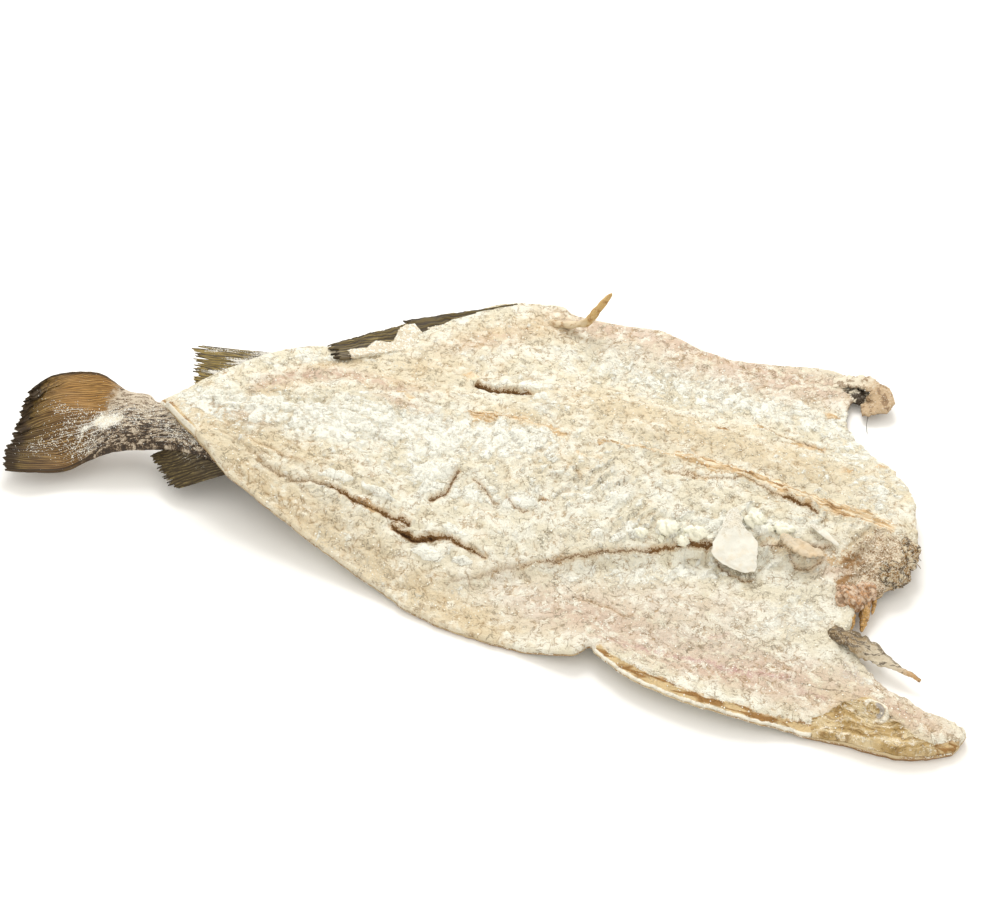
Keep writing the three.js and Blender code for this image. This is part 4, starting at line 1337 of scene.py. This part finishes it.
def gut_finish():
    finish = Finish("torn_gut_wall", 0.55, 0.35)
    along = finish.mask("along")
    clouds = finish.noise(3.2, 4, roughness=0.65)
    folds = finish.grains(2.8, finish.warped(2.5, 1.2))
    grit = finish.noise(0.8, 3, roughness=0.7)
    grained = (grit + (0.5 - folds) * 0.25).step(0.5, 0.66)
    paint = finish.coats(
        (252, 222, 190),
        ((230, 174, 122), clouds.step(0.42, 0.6)),
        ((236, 186, 108), along.step(0.05, 0.4)),
        ((120, 80, 42), folds.step(0.54, 0.78) * 0.6),
        ((104, 64, 36), clouds.creases(0.03) * 0.7),
        ((252, 236, 218), grained * (0.85 - 0.6 * along)))
    return finish.done(paint, clouds - folds * 0.8 + grit * 0.5, 1.2)


gut = (
    lump((240, -56, 12), (10, 9, 6), 171, rough=0.24)
    + lump((249, -49, 13), (7, 8, 5), 172, rough=0.24)
    + rod([(241, -58, 12), (243.5, -68, 9), (245, -79, 6)], 2.8, 173, tip=0.45)
    + rod([(249, -54, 11), (251, -64, 7), (251.5, -75, 4)], 3.3, 174, tip=0.4)
    + rod([(252, -46, 11), (255, -54, 9), (255, -61, 6.5)], 1.9, 175, tip=0.35)
)
add_piece("torn_gut_wall", gut, gut_finish())


def nape_finish():
    finish = Finish("torn_nape", 0.75, 0.25)
    clouds = finish.noise(4, 4, roughness=0.65, distortion=0.6)
    folds = finish.grains(3.4, finish.warped(3, 1.5))
    grit = finish.noise(0.9, 3, roughness=0.7)
    paint = finish.coats(
        (238, 220, 186),
        ((166, 130, 82), clouds.step(0.4, 0.56)),
        ((76, 54, 30), folds.step(0.46, 0.68) * 0.85),
        ((252, 246, 228), grit.step(0.51, 0.6) * 0.8))
    return finish.done(paint, clouds - folds * 0.7 + grit * 0.5, 1.3)


nape = (
    lump((260, -30, 13), (11, 10, 7), 181, rough=0.26)
    + lump((266, -10, 14), (8, 14, 7), 182, rough=0.26)
    + rod([(268, -16, 17), (273, -15, 19), (277, -17, 18)], 0.35, 183, 20, 6)
    + rod([(266, -22, 17), (273, -21, 19.5), (278, -25, 19)], HAIR, 184, 20, 6)
)
add_piece("torn_nape", nape, nape_finish())


# ---- loose salt ----

CUBE = np.array([(x, y, z) for x in (-1, 1) for y in (-1, 1) for z in (-1, 1)], float)
CUBE_FACES = np.array([
    (0, 1, 3, 2), (4, 6, 7, 5), (0, 4, 5, 1), (2, 3, 7, 6), (0, 2, 6, 4), (1, 5, 7, 3)])
FLESH_SALT = {"count": 11500, "seed": 191, "half_sizes": (0.12, 0.42)}
FIN_SALT = {"count": 4000, "seed": 192, "half_sizes": (0.1, 0.26)}


def random_turns(count, rng):
    q = rng.normal(size=(count, 4))
    a, b, c, d = (q / np.linalg.norm(q, axis=1)[:, None]).T
    return np.stack([
        np.stack([1 - 2 * (c * c + d * d), 2 * (b * c - a * d), 2 * (b * d + a * c)], -1),
        np.stack([2 * (b * c + a * d), 1 - 2 * (b * b + d * d), 2 * (c * d - a * b)], -1),
        np.stack([2 * (b * d - a * c), 2 * (c * d + a * b), 1 - 2 * (b * b + c * c)], -1),
    ], 1)


def on_face(values, size):
    """Values of a half shell's points laid out as its grid, without those of its rim."""
    rows, across = size[0] + 1, size[1] + 1
    return values[:rows * across].reshape(rows, across, *values.shape[1:])


def sprinkle(shape, size, share, count, seed, half_sizes):
    """Salt crystals on the face of a sheet, more of them where share is higher."""
    rng = np.random.default_rng(seed)
    face = on_face(shape.points, size)
    cell = np.linalg.norm(
        np.cross(face[1:, :-1] - face[:-1, :-1], face[:-1, 1:] - face[:-1, :-1]), axis=-1)
    weight = (cell * share[:-1, :-1]).reshape(-1)
    chosen = rng.choice(len(weight), count, p=weight / weight.sum())
    i, j = np.divmod(chosen, size[1])
    s, t = rng.uniform(0, 1, (2, count, 1))
    low_edge = mix(face[i, j], face[i + 1, j], s)
    high_edge = mix(face[i, j + 1], face[i + 1, j + 1], s)
    centre = mix(low_edge, high_edge, t)
    half = mix(*half_sizes, rng.uniform(0, 1, (count, 1)) ** 2.2)
    corners = CUBE[None] * half[:, None] * rng.uniform(0.7, 1.3, (count, 1, 3))
    corners = np.einsum("nij,nkj->nki", random_turns(count, rng), corners) + centre[:, None]
    corners[..., 2] += 0.25 * half
    faces = CUBE_FACES[None] + 8 * np.arange(count)[:, None, None]
    return Shape(corners.reshape(-1, 3), faces.reshape(-1, 4))


def salt_finish():
    finish = Finish("salt_crystals", 0.5, level=FLESH_LEVEL)
    cloudy = finish.noise(2.5, 2)
    paint = finish.blend((255, 254, 246), (244, 236, 216), cloudy.step(0.4, 0.7))
    return finish.done(paint, cloudy, 0.1)


crust, ear, cut_across, cut_width = (
    on_face(slab.masks[name], SLAB_GRID) for name in ("crust", "ear", "cut_across", "cut_width"))
flesh_share = (0.3 + crust) * (np.abs(cut_across) > cut_width + 1) * (1 - 0.7 * ear)
tail_share = np.clip(on_face(tail_shape.masks["frost"], TAIL_GRID), 0, 1) ** 2.6 + 0.0006
salt = sprinkle(slab, SLAB_GRID, flesh_share, **FLESH_SALT)
salt = salt + sprinkle(tail_shape, TAIL_GRID, tail_share, **FIN_SALT)
add_piece("salt_crystals", salt, salt_finish(), faceted=True)


# ---- studio ----

ROOM = {"colour": (1, 0.965, 0.89, 1), "strength": 1.08}
WINDOW = {"place": (-0.3, 1.0, 1.3), "size": 0.8, "power": 15, "tint": (0.99, 0.995, 1)}
TABLE_HALF_WIDTH = 4.0  # metres


def table():
    mesh = bpy.data.meshes.new("table")
    corners = [(-1, -1), (1, -1), (1, 1), (-1, 1)]
    mesh.from_pydata(
        [(x * TABLE_HALF_WIDTH, y * TABLE_HALF_WIDTH, 0) for x, y in corners], [], [(0, 1, 2, 3)])
    finish = Finish("pale_table", 0.9, 0.1)
    finish.shader.inputs["Base Color"].default_value = (0.96, 0.96, 0.96, 1)
    mesh.materials.append(finish.material)
    floor = bpy.data.objects.new("table", mesh)
    bpy.context.collection.objects.link(floor)


def window(place, size, power, tint):
    """A soft round light that looks at the fish."""
    light = bpy.data.lights.new("window", "AREA")
    light.shape = "DISK"
    light.size = size
    light.energy = power
    light.color = tint
    lamp = bpy.data.objects.new("window", light)
    lamp.location = place
    lamp.rotation_euler = (-Vector(place)).to_track_quat("-Z", "Y").to_euler()
    bpy.context.collection.objects.link(lamp)


def room():
    world = bpy.data.worlds.new("white_room")
    world.use_nodes = True
    background = world.node_tree.nodes["Background"]
    background.inputs["Color"].default_value = ROOM["colour"]
    background.inputs["Strength"].default_value = ROOM["strength"]
    bpy.context.scene.world = world
    bpy.context.scene.view_settings.view_transform = "Standard"
    bpy.context.scene.view_settings.look = "None"


def camera(elevation, azimuth, distance, width_angle, target):
    tilt, turn = math.radians(elevation), math.radians(azimuth)
    back = Vector((math.sin(turn) * math.cos(tilt), -math.cos(turn) * math.cos(tilt), math.sin(tilt)))
    right = Vector((math.cos(turn), math.sin(turn), 0))
    lens = bpy.data.cameras.new("camera")
    lens.sensor_fit = "HORIZONTAL"
    lens.angle = math.radians(width_angle)
    stand = bpy.data.objects.new("camera", lens)
    turned = Matrix((right, back.cross(right), back)).transposed()
    stand.matrix_world = Matrix.Translation(Vector(target) + back * distance) @ turned.to_4x4()
    bpy.context.collection.objects.link(stand)
    bpy.context.scene.camera = stand


table()
room()
window(**WINDOW)
camera(elevation=42, azimuth=18, distance=1.3587, width_angle=28, target=(-0.01292, 0.02164, 0))
